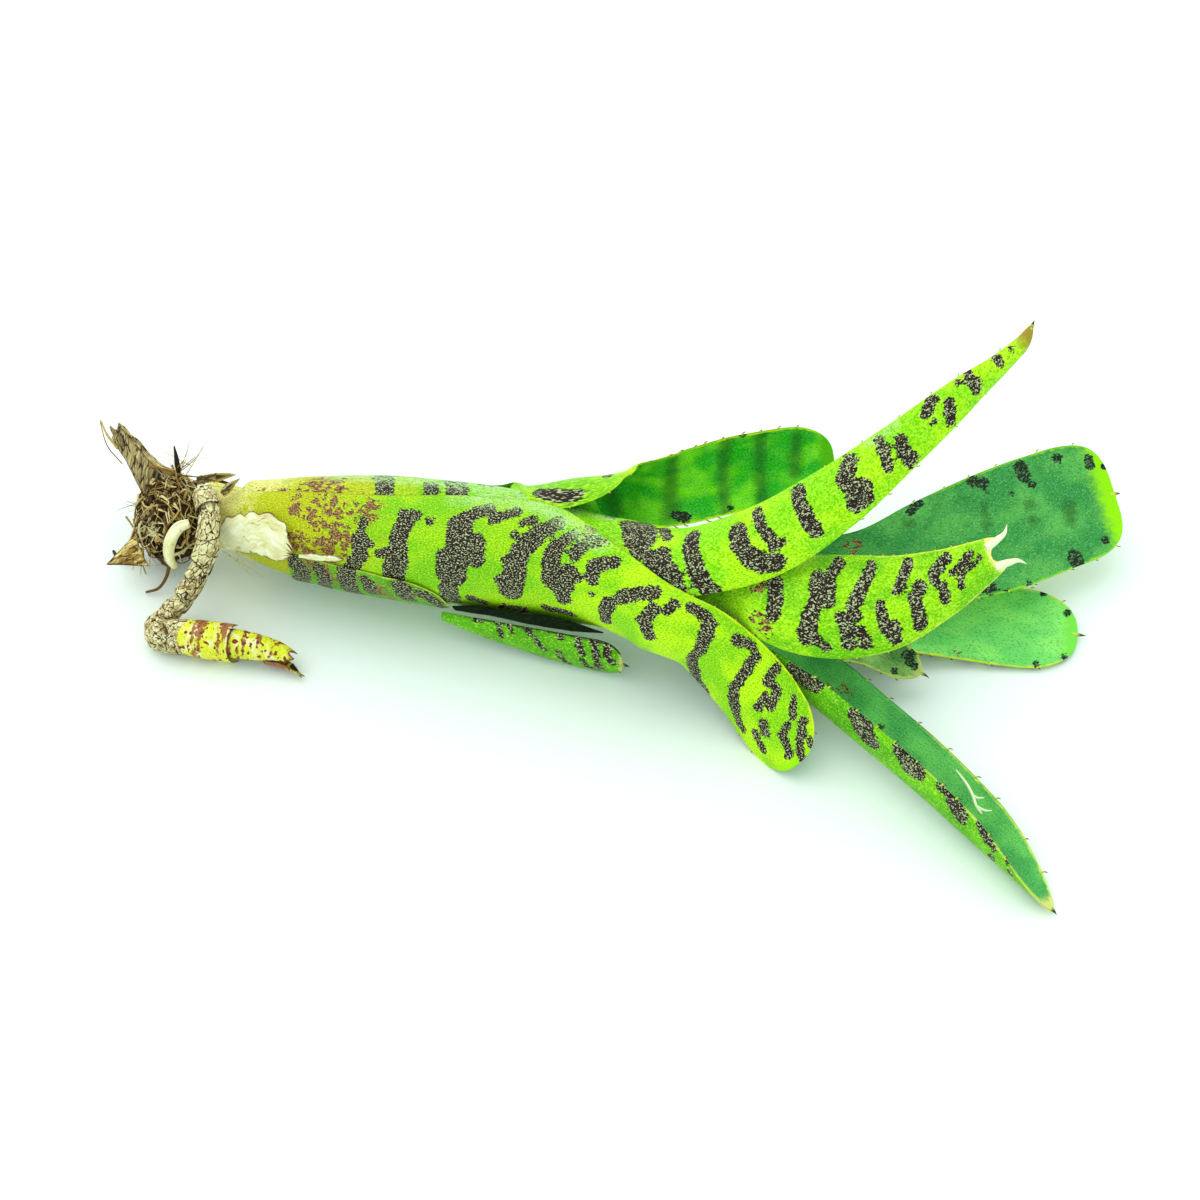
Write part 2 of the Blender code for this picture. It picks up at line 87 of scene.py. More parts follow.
def spline_rows(rows, places):
    rows = np.array(rows, float)
    knots = lengths(rows)
    slopes = np.gradient(rows, knots, axis=0)
    at = np.clip(np.asarray(places, float), 0, 1) * knots[-1]
    i = np.clip(np.searchsorted(knots, at, side="right") - 1, 0, len(knots) - 2)
    span = (knots[i + 1] - knots[i])[:, None]
    t = (at - knots[i])[:, None] / span
    return (
        (2 * t**3 - 3 * t**2 + 1) * rows[i]
        + (t**3 - 2 * t**2 + t) * span * slopes[i]
        + (3 * t**2 - 2 * t**3) * rows[i + 1]
        + (t**3 - t**2) * span * slopes[i + 1]
    )


def axis_frame(axis, place):
    before, here, after = spline_rows(axis, [place - 0.02, place, place + 0.02])
    along = unit(after[:3] - before[:3])
    up = unit(np.array([0, 0, 1.0]) - along[2] * along)
    return here[:3], here[3], up, np.cross(along, up)


def all_facing(way, *rows):
    """Rows that share one facing, each written without it."""
    return [(*row[:3], *way, *row[3:]) for row in rows]


def sheath(axis, depth, *stations):
    rows = []
    for place, angle, wrap in stations:
        centre, radius, up, front = axis_frame(axis, place)
        radius -= depth
        out = math.cos(math.radians(angle)) * up + math.sin(math.radians(angle)) * front
        rows.append((*(centre + radius * out), *-out, radius * math.radians(wrap), wrap))
    return rows


def tube_sheath(layer, *stations):
    xs = [row[0] for row in TUBE]
    shares = lengths(TUBE) / lengths(TUBE)[-1]
    stops = ((float(np.interp(x, xs, shares)), angle, wrap) for x, angle, wrap in stations)
    return sheath(TUBE, layer * LAYER_PITCH, *stops)


# Places along the back leaf, and how far its inner margin reaches there.
BACK_MARGIN = ((0, 0.5), (60, 0.5), (66, 0.62), (70, 0.85), (74, 1.1), (77, 1.15), (80, 0.95), (84, 0.68))
BACK_MARGIN += ((88, 0.8), (92, 0.75), (97, 0.9), (102, 1.0))
LEAVES = {
    "small_lower_leaf": {
        "rows": all_facing(
            (0, 1, 0.1), (-32, 1.6, 7.8, 3, 40), (-26, -0.6, 7.4, 5.5, 40), (-20, -2.4, 6.8, 7.5, 40),
            (-12, -5, 6.4, 10, 40), (-4, -7.4, 6.2, 11.4, 45), (4.6, -9.4, 6, 11.4, 50),
        ),
        "tip": (6, 2.4),
    },
    "front_leaf": {
        "rows": tube_sheath(1, (-79, 75, 145), (-62, 80, 150), (-42, 83, 154), (-20, 80, 170), (-8, 78, 180))
        + [(2, -9.2, 24.2, 0, 0.95, -0.3, 23, 116), (8.5, -13.3, 24.8, 0.2, 0.9, -0.4, 18, 98)]
        + all_facing(
            (0.35, 0.83, -0.44), (14, -15.2, 23.3, 16.6, 90), (19, -16.2, 20.7, 16.8, 88),
            (24, -18.5, 16.5, 18, 90), (29.5, -22.8, 12.2, 18.5, 85), (34.5, -28.4, 7.4, 17.5, 80),
            (38.5, -33.1, 4.3, 15, 75),
        ),
        "tip": (10, 2.4),
    },
    "back_leaf": {
        "rows": tube_sheath(1, (-79, -118, 96), (-60, -118, 98), (-38, -116, 106))
        + tube_sheath(0.5, (-16, -92, 114))
        + [
            (-4, 21.6, 26.4, 0, -0.87, -0.5, 23.5, 138), (5, 24.5, 22.6, 0.1, -0.97, 0.1, 20, 110),
            (14, 25, 21, 0.1, -0.8, 0.5, 17, 80), (29, 30, 20, 0.1, -0.75, 0.6, 16.5, 60),
            (41, 33.5, 18.8, 0, -0.7, 0.6, 16, 55), (48.5, 36, 18, 0, -0.7, 0.6, 13, 50),
        ],
        "tip": (10, 2.4),
        "reach": BACK_MARGIN,
    },
    "short_leaf": {
        "rows": tube_sheath(1.9, (-70, 150, 85), (-50, 150, 85), (-20, 154, 76))
        + tube_sheath(2, (4, 157, 62))
        + [
            (20, -5.8, 8.4, 0.1, 0.2, 0.97, 9.5, 62), (32, -6.8, 7.8, 0, -0.1, 1, 9, 60),
            (43, -6.2, 7.6, 0, -0.1, 1, 9.5, 60), (52, -5.6, 6.6, -0.1, -0.2, 1, 8.6, 70),
            (60.4, -8.1, 5.1, -0.3, -0.3, 0.9, 8.2, 80), (64.6, -10, 4.1, -0.3, -0.3, 0.9, 7, 80),
        ],
        "tip": (6, 1.8),
    },
    "raised_leaf": {
        "rows": tube_sheath(2, (-72, 5, 165), (-50, 5, 160))
        + tube_sheath(2.4, (-20, 10, 148), (2, 13, 150))
        + [
            (17, -4, 33.6, 0.1, 0.3, -0.95, 17.6, 112), (30, -4.5, 38, 0.3, 0.5, -0.8, 16.5, 95),
            (44, -1, 46, 0.35, 0.6, -0.7, 14, 80), (57, 5.8, 53.2, 0.3, 0.7, -0.6, 10.6, 80),
            (70, 15.4, 58, 0.2, 0.8, -0.5, 7.6, 90), (78.2, 23.2, 58.6, 0.1, 0.85, -0.4, 5, 110),
            (82.4, 28, 59.4, 0.1, 0.88, -0.35, 3.8, 120), (84.2, 31.6, 60.4, 0.1, 0.9, -0.3, 3.2, 120),
        ],
        "tip": (6, 1.6),
    },
    "ground_leaf": {
        "rows": tube_sheath(2.9, (-68, 205, 110), (-45, 203, 110), (-15, 200, 102), (6, 196, 88))
        + all_facing(
            (0, -0.1, 1), (20, 5, 9.8, 11, 65), (32, 5.8, 8.2, 12, 50), (52, 4.5, 5.5, 17, 40),
            (72, 4.8, 2, 19.5, 30), (88, 3.3, 1, 19.5, 25), (97.5, 2, 1.5, 17, 20),
        ),
        "tip": (10, 2.4),
    },
    "channel_leaf": {
        "rows": tube_sheath(4, (-62, 130, 96), (-40, 130, 96), (-12, 132, 82), (12, 134, 72))
        + [
            (22, -5.6, 13, 0.15, 0.4, 0.9, 11, 85), (30, -10.2, 12.2, 0.3, 0.4, 0.87, 15, 105),
            (39.8, -17.9, 7.9, 0.36, 0.32, 0.87, 21, 145),
        ]
        + all_facing(
            (0.36, 0.34, 0.87), (49.6, -26.7, 5.3, 21.5, 152), (61.2, -38.2, 3.9, 20.5, 152),
            (73.4, -51.8, 2.6, 17.5, 150), (85.5, -65, 1.4, 12, 140),
        ),
        "tip": (22, 1.7),
        "crease": 0.4,
    },
    "broad_leaf": {
        "rows": tube_sheath(4.4, (-62, 245, 100), (-40, 243, 96), (-10, 240, 90), (10, 238, 84))
        + [(36, 6.6, 13, 0.1, -0.4, 0.9, 17, 100)]
        + all_facing(
            (0, -0.5, 0.87), (54, 9.2, 12.8, 17.5, 60), (68, 14.2, 13, 22.5, 40), (80, 19, 13, 25.5, 30),
            (92, 25, 12.7, 25.5, 25), (100, 28.6, 12.5, 24.5, 25), (107, 31, 12.3, 20, 25),
        ),
        "tip": (7, 3.2),
    },
    "inner_leaf": {
        "rows": tube_sheath(5, (-56, 55, 165), (-35, 55, 160), (-8, 50, 145), (12, 45, 120))
        + [
            (25, -6, 27.5, 0.1, 0.6, -0.8, 15, 110), (33, -10.5, 29, 0, 0.62, -0.78, 20, 95),
            (42, -14, 30, 0, 0.64, -0.77, 22, 85), (54, -14, 30.5, 0, 0.64, -0.77, 20.5, 75),
            (66, -9, 30.5, 0, 0.66, -0.75, 14.5, 65), (79, -0.5, 30.5, 0, 0.7, -0.7, 7, 60),
        ],
        "tip": (3, 3),
        "end": 0.75,
        "notch": 3,
    },
}


# ---------------------------------------------------------------- meshes
def ripple(points, size, seed, octaves=2):
    """Smooth noise from -1 to 1 at points in millimetres, with features about size across."""
    rng = np.random.default_rng(seed)
    total = np.zeros(len(points))
    for octave in range(octaves):
        waves = rng.normal(size=(7, points.shape[1])) * (2.2 * 2**octave / size)
        phases = rng.uniform(0, 2 * math.pi, 7)
        total += np.sin(points @ waves.T + phases).sum(axis=1) / 3.5 / 2**octave
    return np.clip(total / 1.4, -1.5, 1.5)


def placed(name, data):
    """An object made from a mesh, a light or a camera, linked to the scene."""
    made = bpy.data.objects.new(name, data)
    bpy.context.scene.collection.objects.link(made)
    return made


class Piece:
    """A mesh put together from parts, with three vector attributes on its vertices.

    flat   millimetres along and across the part's own skin, then a number that differs from part to part
    marks  distance in millimetres outside the dark, the brown and the faint patches
       (faint ones on a lower side are pale: a waxy coat with a painted highlight)
    rim    distance from the margin, distance from the tip, and 1 on a leaf's upper side
    """

    def __init__(self):
        self.points = []
        self.faces = []
        self.slots = []
        self.values = {"flat": [], "marks": [], "rim": []}
        self.count = 0

    def add(self, points, faces, slot=0, flat=None, marks=None, rim=None):
        points = np.asarray(points, float).reshape(-1, 3)
        self.points.append(points)
        self.faces += [tuple(int(i) + self.count for i in face) for face in faces]
        self.slots += [slot] * len(faces)
        for name, value, usual in (("flat", flat, 0.0), ("marks", marks, UNMARKED), ("rim", rim, UNMARKED)):
            filled = np.full((len(points), 3), usual)
            if value is not None:
                filled[:] = value
            self.values[name].append(filled)
        self.count += len(points)

    def make(self, name, materials, nodes, shift=None):
        points = np.concatenate(self.points)
        if shift is not None:
            points = points + shift
        mesh = bpy.data.meshes.new(name)
        mesh.from_pydata([tuple(p) for p in (points - ORIGIN) * MM], [], self.faces)
        for made in materials:
            mesh.materials.append(made)
        mesh.polygons.foreach_set("material_index", self.slots)
        for key, parts in self.values.items():
            layer = mesh.attributes.new(key, "FLOAT_VECTOR", "POINT")
            layer.data.foreach_set("vector", np.concatenate(parts).ravel().astype(np.float32))
        mesh.shade_smooth()
        mesh.update()
        made = placed(name, mesh)
        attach(made, "root")
        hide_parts(*nodes)
        return made


def box_shift(node, piece):
    """The small move, in millimetres, that centres a piece on a CAD node's box."""
    points = np.concatenate(piece.points)
    low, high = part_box(node)
    centre = (np.array(low) + np.array(high)) / 2 / MM + ORIGIN
    return centre - (points.min(axis=0) + points.max(axis=0)) / 2


def grid_faces(rings, columns, closed=False, flip=False, start=0):
    faces = []
    for r in range(rings - 1):
        for c in range(columns if closed else columns - 1):
            d = (c + 1) % columns
            face = (r * columns + c, r * columns + d, (r + 1) * columns + d, (r + 1) * columns + c)
            faces.append(tuple(i + start for i in (face[::-1] if flip else face)))
    return faces


def closed_faces(rings, sides, flip=False):
    """The faces of closed rings, with a cap over the first and the last."""
    caps = [tuple(range(sides))[::-1], tuple((rings - 1) * sides + k for k in range(sides))]
    faces = grid_faces(rings, sides, closed=True, flip=flip)
    return faces + [cap[::-1] if flip else cap for cap in caps]


def sheet_frame(rows, places, columns, tip=None, end=NARROWEST, notch=0.0, crease=1.0, reach=()):
    """A curved sheet's middle surface as a grid, and the half width of each of its rows.
    reach lists places along the sheet and how far its inner margin goes there,
    as a share of the half width."""
    rows = np.array(rows, float)
    rows = np.column_stack([rows, np.where(rows[:, 0] > TUBE_MOUTH, crease, 1.0)])
    total = lengths(rows)[-1]
    row = spline_rows(rows, places)
    middle, facing, width = row[:, :3], row[:, 3:6], row[:, 6]
    wrap, crease = np.radians(row[:, 7]), row[:, 8]
    left = (1 - np.asarray(places)) * total
    if tip:
        into_tip = np.clip(1 - left / tip[0], 0, 1)
        taper = np.maximum(1 - into_tip ** tip[1], 0) ** (1 / tip[1])
        width = width * (end + (1 - end) * taper)
        wrap = wrap * (end + (1 - end) * taper)
    along = unit(np.gradient(middle, axis=0))
    facing = unit(facing - np.sum(facing * along, axis=1, keepdims=True) * along)
    across = np.cross(facing, along)
    share = np.repeat(np.linspace(-1, 1, columns + 1)[None], len(row), axis=0)
    if reach:
        share[:, columns // 2 :] *= np.interp(total - left, *zip(*reach))[:, None]
    half = (share[:, 1:] + share[:, :-1]) / 2
    bite = notch * np.clip(1 - left / (2 * notch + 0.01), 0, 1)
    turn = wrap[:, None] / 2 * np.sign(half) * np.abs(half) ** crease[:, None]
    step = width[:, None] / 2 * np.diff(share, axis=1)
    zero = np.zeros((len(row), 1))
    sideways = np.concatenate([zero, np.cumsum(np.cos(turn) * step, axis=1)], axis=1)
    inwards = np.concatenate([zero, np.cumsum(np.sin(turn) * step, axis=1)], axis=1)
    sideways -= sideways[:, columns // 2][:, None]
    inwards -= inwards[:, columns // 2][:, None]
    grid = (
        middle[:, None]
        + sideways[..., None] * across[:, None]
        + inwards[..., None] * facing[:, None]
        - (bite[:, None] * (1 - share**2))[..., None] * along[:, None]
    )
    return grid, width / 2, facing, along


def patch_distance(patches, where, half_at):
    """Distance in millimetres outside the nearest patch, negative inside one."""
    nearest = np.full(len(where), UNMARKED)
    for radius, *places in patches:
        stops = [np.array([s, v * half_at(s)]) for s, v in places]
        if len(stops) == 1:
            stops.append(stops[0] + (0.01, 0))
        for a, b in zip(stops, stops[1:]):
            run = b - a
            t = np.clip((where - a) @ run / max(run @ run, 1e-9), 0, 1)
            gap = np.linalg.norm(where - a - t[:, None] * run, axis=1) - radius
            nearest = np.minimum(nearest, gap)
    return nearest


def stripes(flat, seed):
    """Distance in millimetres outside bands that cross a leaf at about STRIPE_PITCH."""
    bend = flat[:, 0] + 2.4 * ripple(flat, 16, seed + 300) + 0.1 * flat[:, 1]
    off = np.abs((bend + STRIPE_PITCH / 2) % STRIPE_PITCH - STRIPE_PITCH / 2)
    return off - 1.3 - 0.9 * ripple(flat, 8, seed + 301)


def tear(grid, amount, seed):
    """The grid drawn in unevenly from its margins and its end, by up to amount as a share of its size."""
    rng = np.random.default_rng(seed)
    for lengthwise, from_start, gap in ((False, False, 3), (False, True, 3), (True, False, 2)):
        lines = grid.swapaxes(0, 1) if lengthwise else grid
        count, size = lines.shape[:2]
        knots = np.arange(0, count + gap, gap)
        bites = amount * np.interp(np.arange(count), knots, rng.random(len(knots)))
        whole = np.linspace(0, 1, size)
        for line, bite in zip(lines, bites):
            cut = np.linspace(bite if from_start else 0, 1 if from_start else 1 - bite, size)
            line[:] = np.stack([np.interp(cut, whole, line[:, k]) for k in range(3)], axis=-1)
    return grid


def add_blade(
    piece,
    rows,
    tip,
    rings,
    columns,
    thickness,
    patches=None,
    waves=0.12,
    seed=0,
    striped=(),
    torn=0.0,
    **shape,
):
    """A leaf or bract with an upper and a lower skin that meet in thin margins. Returns its middle grid.
    patches gives the marks of each kind, as half width and then places along and shares across.
    striped lists the stretches, as first and last place along and share across, that get plain bands."""
    total = lengths(rows)[-1]
    patches = patches or {}
    if tip:
        tip_share = min(tip[0] / total, 0.6)
        in_tip = rings // 5
        body = np.linspace(0, 1 - tip_share, rings - in_tip, endpoint=False)
        places = np.concatenate([body, 1 - tip_share * (1 - np.sin(np.linspace(0, math.pi / 2, in_tip)))])
    else:
        places = np.linspace(0, 1, rings)
    grid, half, facing, along = sheet_frame(rows, places, columns, tip, **shape)
    if torn:
        grid = tear(grid, torn, seed)
    share = np.linspace(-1, 1, columns + 1)
    d_along = np.gradient(grid, axis=0)
    d_across = np.gradient(grid, axis=1)
    normal = unit(np.cross(d_along, d_across))
    normal *= np.sign(np.sum(normal * facing[:, None], axis=(1, 2)))[:, None, None]
    s = np.repeat((places * total)[:, None], columns + 1, axis=1)
    w = half[:, None] * share
    margin = half[:, None] * (1 - np.abs(share))
    left = total - s
    flat = np.stack([s, w], axis=-1).reshape(-1, 2)
    wobble = waves * ripple(flat, 9, seed).reshape(s.shape) * np.clip(margin / 2, 0.3, 1)
    grid = grid + wobble[..., None] * normal
    thick = thickness * (MARGIN_RATIO + (1 - MARGIN_RATIO) * (1 - np.abs(share) ** 3))[None]
    thick = thick * np.sqrt(np.clip(np.minimum(margin, left + 0.02) / 0.35, 0.02, 1))
    half_at = lambda at: float(np.interp(at, places * total, half))
    size = s.size
    reach = np.repeat(half, columns + 1)
    rim = np.stack([margin, left, np.ones_like(s)], axis=-1).reshape(-1, 3)
    for upper in (1, 0):
        skin = grid + (upper - 0.5) * thick[..., None] * normal
        kinds = ("upper", "upper_brown", "upper_faint") if upper else ("dark", "brown", "faint")
        marks = np.stack([patch_distance(patches.get(kind, ()), flat, half_at) for kind in kinds], axis=-1)
        for first, last, low, high in () if upper else striped:
            inside = (flat[:, 0] > first) & (flat[:, 0] < last)
            inside &= (flat[:, 1] > low * reach) & (flat[:, 1] < high * reach)
            marks[inside, 0] = np.minimum(marks[inside, 0], stripes(flat[inside], seed))
        rim[:, 2] = upper
        key = np.full(size, seed * 37.0 + upper * 11)
        piece.add(skin, [], flat=np.column_stack([flat, key]), marks=marks, rim=rim)
    start = piece.count - 2 * size
    columns += 1
    outward = np.sum(np.cross(d_along, d_across) * normal, axis=-1).mean() > 0
    faces = grid_faces(rings, columns, flip=outward, start=start)
    faces += grid_faces(rings, columns, flip=not outward, start=start + size)
    loop = [r * columns for r in range(rings)] + [(rings - 1) * columns + c for c in range(1, columns)]
    loop += [r * columns + columns - 1 for r in range(rings - 2, -1, -1)] + list(range(columns - 2, 0, -1))
    for a, b in zip(loop, loop[1:] + loop[:1]):
        face = (start + a, start + b, start + size + b, start + size + a)
        faces.append(face if outward else face[::-1])
    piece.faces += faces
    piece.slots += [0] * len(faces)
    return grid, places * total, facing, along


def swept(piece, rows, sides=8, rings=12, slot=0, relief=None, key=0.0):
    """A round section swept along rows of x, y, z and radius. relief gives the radius's share by place."""
    places = np.linspace(0, 1, rings)
    row = spline_rows(rows, places)
    total = lengths(rows)[-1]
    middle, radius = row[:, :3], np.maximum(row[:, 3], 0.01)
    along = unit(np.gradient(middle, axis=0))
    side = np.empty_like(middle)
    last = np.array([0.3, 0.2, 1.0])
    for k in range(rings):
        last = unit(last - np.dot(last, along[k]) * along[k])
        side[k] = last
    other = np.cross(along, side)
    turn = np.linspace(0, 2 * math.pi, sides, endpoint=False)
    reach = radius[:, None] * np.ones(sides)
    if relief is not None:
        reach = reach * relief(places[:, None] * total, turn[None])
    points = middle[:, None] + reach[..., None] * (
        np.cos(turn)[:, None] * side[:, None] + np.sin(turn)[:, None] * other[:, None]
    )
    s = np.repeat(places[:, None] * total, sides, axis=1)
    flat = np.stack([s, radius[:, None] * turn, np.full_like(s, key)], axis=-1).reshape(-1, 3)
    rim = np.stack([reach, total - s, s / total], axis=-1).reshape(-1, 3)
    piece.add(points, closed_faces(rings, sides), slot, flat=flat, rim=rim)
    return points


# Points that bend as they taper: shares of the length ahead and outwards, then a radius.
SPINE = ((0.15, 0.25, 0.17), (0.55, 0.5, 0.1), (1, 0.6, 0.02))
MUCRO = ((0.3, 0, 0.32), (0.7, 0.3, 0.14), (1, 0.7, 0.03))
HORN = ((0.35, 0.1, 0.7), (0.75, 0.2, 0.4), (1, 0.45, 0.05))


def bent_point(root, ahead, out, length, foot, stops):
    """Rows of a tapering point. foot is its sunken start: millimetres ahead, millimetres out and a radius."""
    scaled = [(length * a, length * b, radius) for a, b, radius in stops]
    return [(*(root + a * ahead + b * out), radius) for a, b, radius in (foot, *scaled)]


def add_spines(piece, grid, stations, along, start, stop, gap, size, seed, sides=(-1, 1), slot=1):
    """Curved, forward-pointing teeth on a leaf's margins between two distances from its base."""
    rng = np.random.default_rng(seed)
    for side in sides:
        at = start
        while at < stop:
            k = int(np.searchsorted(stations, at))
            k = min(max(k, 1), len(stations) - 2)
            edge, inner = (grid[k, 0], grid[k, 2]) if side < 0 else (grid[k, -1], grid[k, -3])
            out = unit(edge - inner)
            reach = size * rng.uniform(0.6, 1.15)
            rows = bent_point(edge, along[k], out, reach, (-0.1, -0.25, 0.26), SPINE)
            swept(piece, rows, 5, 5, slot)
            at += gap * rng.uniform(0.6, 1.5)


# ---------------------------------------------------------------- materials
def linear(colour):
    """A colour written from 0 to 255 as linear RGBA."""
    shares = [c / 255 for c in colour]
    return (*(c / 12.92 if c <= 0.04 else ((c + 0.055) / 1.055) ** 2.4 for c in shares), 1.0)


class Shader:
    """A material whose nodes are made by short calls. Any input can be a number, a colour or a socket."""

    def __init__(self, name):
        self.material = bpy.data.materials.new(name)
        self.material.use_nodes = True
        self.tree = self.material.node_tree
        self.surface = self.tree.nodes["Principled BSDF"]

    def put(self, socket, value):
        if isinstance(value, bpy.types.NodeSocket):
            self.tree.links.new(value, socket)
        elif isinstance(value, tuple) and len(value) == 3 and socket.type == "RGBA":
            socket.default_value = linear(value)
        else:
            socket.default_value = value

    def node(self, kind, *values, **settings):
        made = self.tree.nodes.new(kind)
        for name, value in settings.items():
            setattr(made, name, value)
        for k, value in enumerate(values):
            if value is not None:
                self.put(made.inputs[k], value)
        return made

    def fill(self, made, **values):
        """Set a node's inputs by name, with _ for a space."""
        for name, value in values.items():
            self.put(made.inputs[name.replace("_", " ")], value)

    def attribute(self, name):
        vector = self.node("ShaderNodeAttribute", attribute_name=name).outputs["Vector"]
        return tuple(self.node("ShaderNodeSeparateXYZ", vector).outputs)

    def math(self, operation, a, b=0.0):
        return self.node("ShaderNodeMath", a, b, operation=operation).outputs[0]

    def add(self, a, b):
        return self.math("ADD", a, b)

    def times(self, a, b):
        return self.math("MULTIPLY", a, b)

    def fit(self, value, scale, offset=0.0):
        return self.node("ShaderNodeMath", value, scale, offset, operation="MULTIPLY_ADD").outputs[0]

    def step(self, value, low, high, to=(0.0, 1.0)):
        """Smoothly from to[0] where value is low to to[1] where it is high."""
        made = self.node("ShaderNodeMapRange", value, interpolation_type="SMOOTHSTEP")
        self.fill(made, From_Min=low, From_Max=high, To_Min=to[0], To_Max=to[1])
        return made.outputs[0]

    def vector(self, x, y, z):
        return self.node("ShaderNodeCombineXYZ", x, y, z).outputs[0]

    def noise(self, vector, scale, detail=2.0, roughness=0.5):
        made = self.node("ShaderNodeTexNoise")
        self.fill(made, Vector=vector, Scale=scale, Detail=detail, Roughness=roughness)
        return made.outputs["Fac"]

    def mix(self, share, a, b):
        made = self.node("ShaderNodeMix", share, data_type="RGBA")
        for socket, value in zip([socket for socket in made.inputs if socket.type == "RGBA"], (a, b)):
            self.put(socket, value)
        return [socket for socket in made.outputs if socket.type == "RGBA"][0]

    def finish(self, colour, roughness=0.5, height=None, depth=0.1, gloss=0.3):
        self.fill(self.surface, Specular_IOR_Level=gloss, Base_Color=colour, Roughness=roughness)
        if height is not None:
            bump = self.node("ShaderNodeBump")
            self.fill(bump, Strength=1.0, Distance=depth * MM, Height=height)
            self.fill(self.surface, Normal=bump.outputs[0])
        return self.material


def leaf_material(
    name, lower, lower_deep, upper, upper_deep, tip, rim, yellow=None, tip_length=6, rim_from=0
):
    """Banded leaf skin. The two sides have their own greens, and patches are dark with pale scales."""
    m = Shader(name)
    s, w, key = m.attribute("flat")
    dark, brown, faint = m.attribute("marks")
    edge, left, side = m.attribute("rim")
    skin = m.vector(s, m.fit(w, 1.5), key)
    fine = m.noise(skin, 2.5, 1.0)
    grain = m.noise(skin, 3.2, 0.0)
    ragged = m.noise(skin, 0.6, 3.0, 0.6)
    broad = m.noise(skin, 0.11, 2.0)
    stray = m.add(m.fit(ragged, 1.8, -0.9), m.fit(fine, 0.9, -0.45))

    far_out = m.add(faint, stray)
    green = m.mix(m.step(broad, 0.38, 0.62), lower, lower_deep)
    green = m.mix(m.step(s, 70, 92, (0.45, 0.0)), green, (104, 176, 12))
    if yellow:
        at_base = m.step(m.add(s, m.fit(ragged, 40.0, -20.0)), 26, 48, (1.0, 0.0))
        green = m.mix(at_base, green, yellow)
        green = m.mix(m.step(m.add(s, m.fit(ragged, 16.0, -8.0)), 6, 14, (1.0, 0.0)), green, (236, 220, 132))
    green = m.mix(m.step(fine, 0.52, 0.7, (0.0, 0.5)), green, (216, 255, 90))
    green = m.mix(m.step(fine, 0.5, 0.34, (0.0, 0.55)), green, (74, 150, 0))
    top = m.mix(m.step(broad, 0.36, 0.62), upper, upper_deep)
    top = m.mix(m.step(grain, 0.54, 0.72, (0.0, 0.35)), top, (150, 215, 150))
    top = m.mix(m.step(fine, 0.48, 0.32, (0.0, 0.4)), top, (10, 66, 18))
    top = m.mix(m.step(far_out, 1.4, -1.0, (0.0, 0.6)), top, (20, 76, 20))
    # On the sheath part the upper side takes the lower side's green: painted light, lightening the shade
    # inside the sheaths and in the gaps between their margins.
    top = m.mix(m.step(s, 52, 70, (1.0, 0.0)), top, lower)
    skin_colour = m.mix(side, green, top)

    at_rim = m.step(m.add(edge, m.fit(ragged, 1.2)), 0.75, 1.15, (1.0, 0.0))
    at_rim = m.times(at_rim, m.step(s, rim_from, rim_from + 12.0))
    skin_colour = m.mix(at_rim, skin_colour, rim)
    at_tip = m.step(m.add(left, m.fit(ragged, 4.0, -2.0)), tip_length + 0.6, tip_length * 0.4)
    skin_colour = m.mix(at_tip, skin_colour, tip)

    brown_mask = m.step(m.add(brown, m.fit(stray, 2.6)), 0.9, 0.3)
    brown_colour = m.mix(m.step(fine, 0.44, 0.58), (96, 46, 38), (176, 140, 84))
    brown_mask = m.times(brown_mask, m.step(m.noise(skin, 0.75, 1.0), 0.44, 0.5))
    skin_colour = m.mix(brown_mask, skin_colour, brown_colour)
    dark_mask = m.step(m.add(dark, stray), 0.35, 0.0)
    scales = m.step(m.add(fine, m.fit(grain, 0.5, -0.25)), 0.57, 0.63)
    pale = m.mix(side, (190, 196, 150), (92, 130, 84))
    band_colour = m.mix(scales, m.mix(side, (40, 26, 24), (24, 40, 24)), pale)
    skin_colour = m.mix(dark_mask, skin_colour, band_colour)
    # Faint patches on the lower side turn pale: partly the skin's waxy coat, partly a painted highlight where
    # they lie along the top of the tube.
    bloom_and_highlight = m.times(m.step(far_out, 1.6, -1.0, (0.0, 0.8)), m.step(side, 0.0, 1.0, (1.0, 0.0)))
    bloom_and_highlight = m.times(bloom_and_highlight, m.step(m.add(fine, m.fit(ragged, 0.8, -0.4)), 0.34, 0.62))
    skin_colour = m.mix(bloom_and_highlight, skin_colour, (186, 222, 150))

    ribs = m.node("ShaderNodeTexWave", m.vector(w, 0.0, 0.0), wave_type="BANDS", bands_direction="X")
    m.fill(ribs, Scale=0.42, Distortion=0.6)
    height = m.add(m.fit(fine, 0.9), m.fit(ribs.outputs["Fac"], 0.15))
    height = m.add(height, m.fit(grain, 0.35))
    return m.finish(skin_colour, m.step(fine, 0.3, 0.7, (0.36, 0.54)), height, 0.12, gloss=0.12)


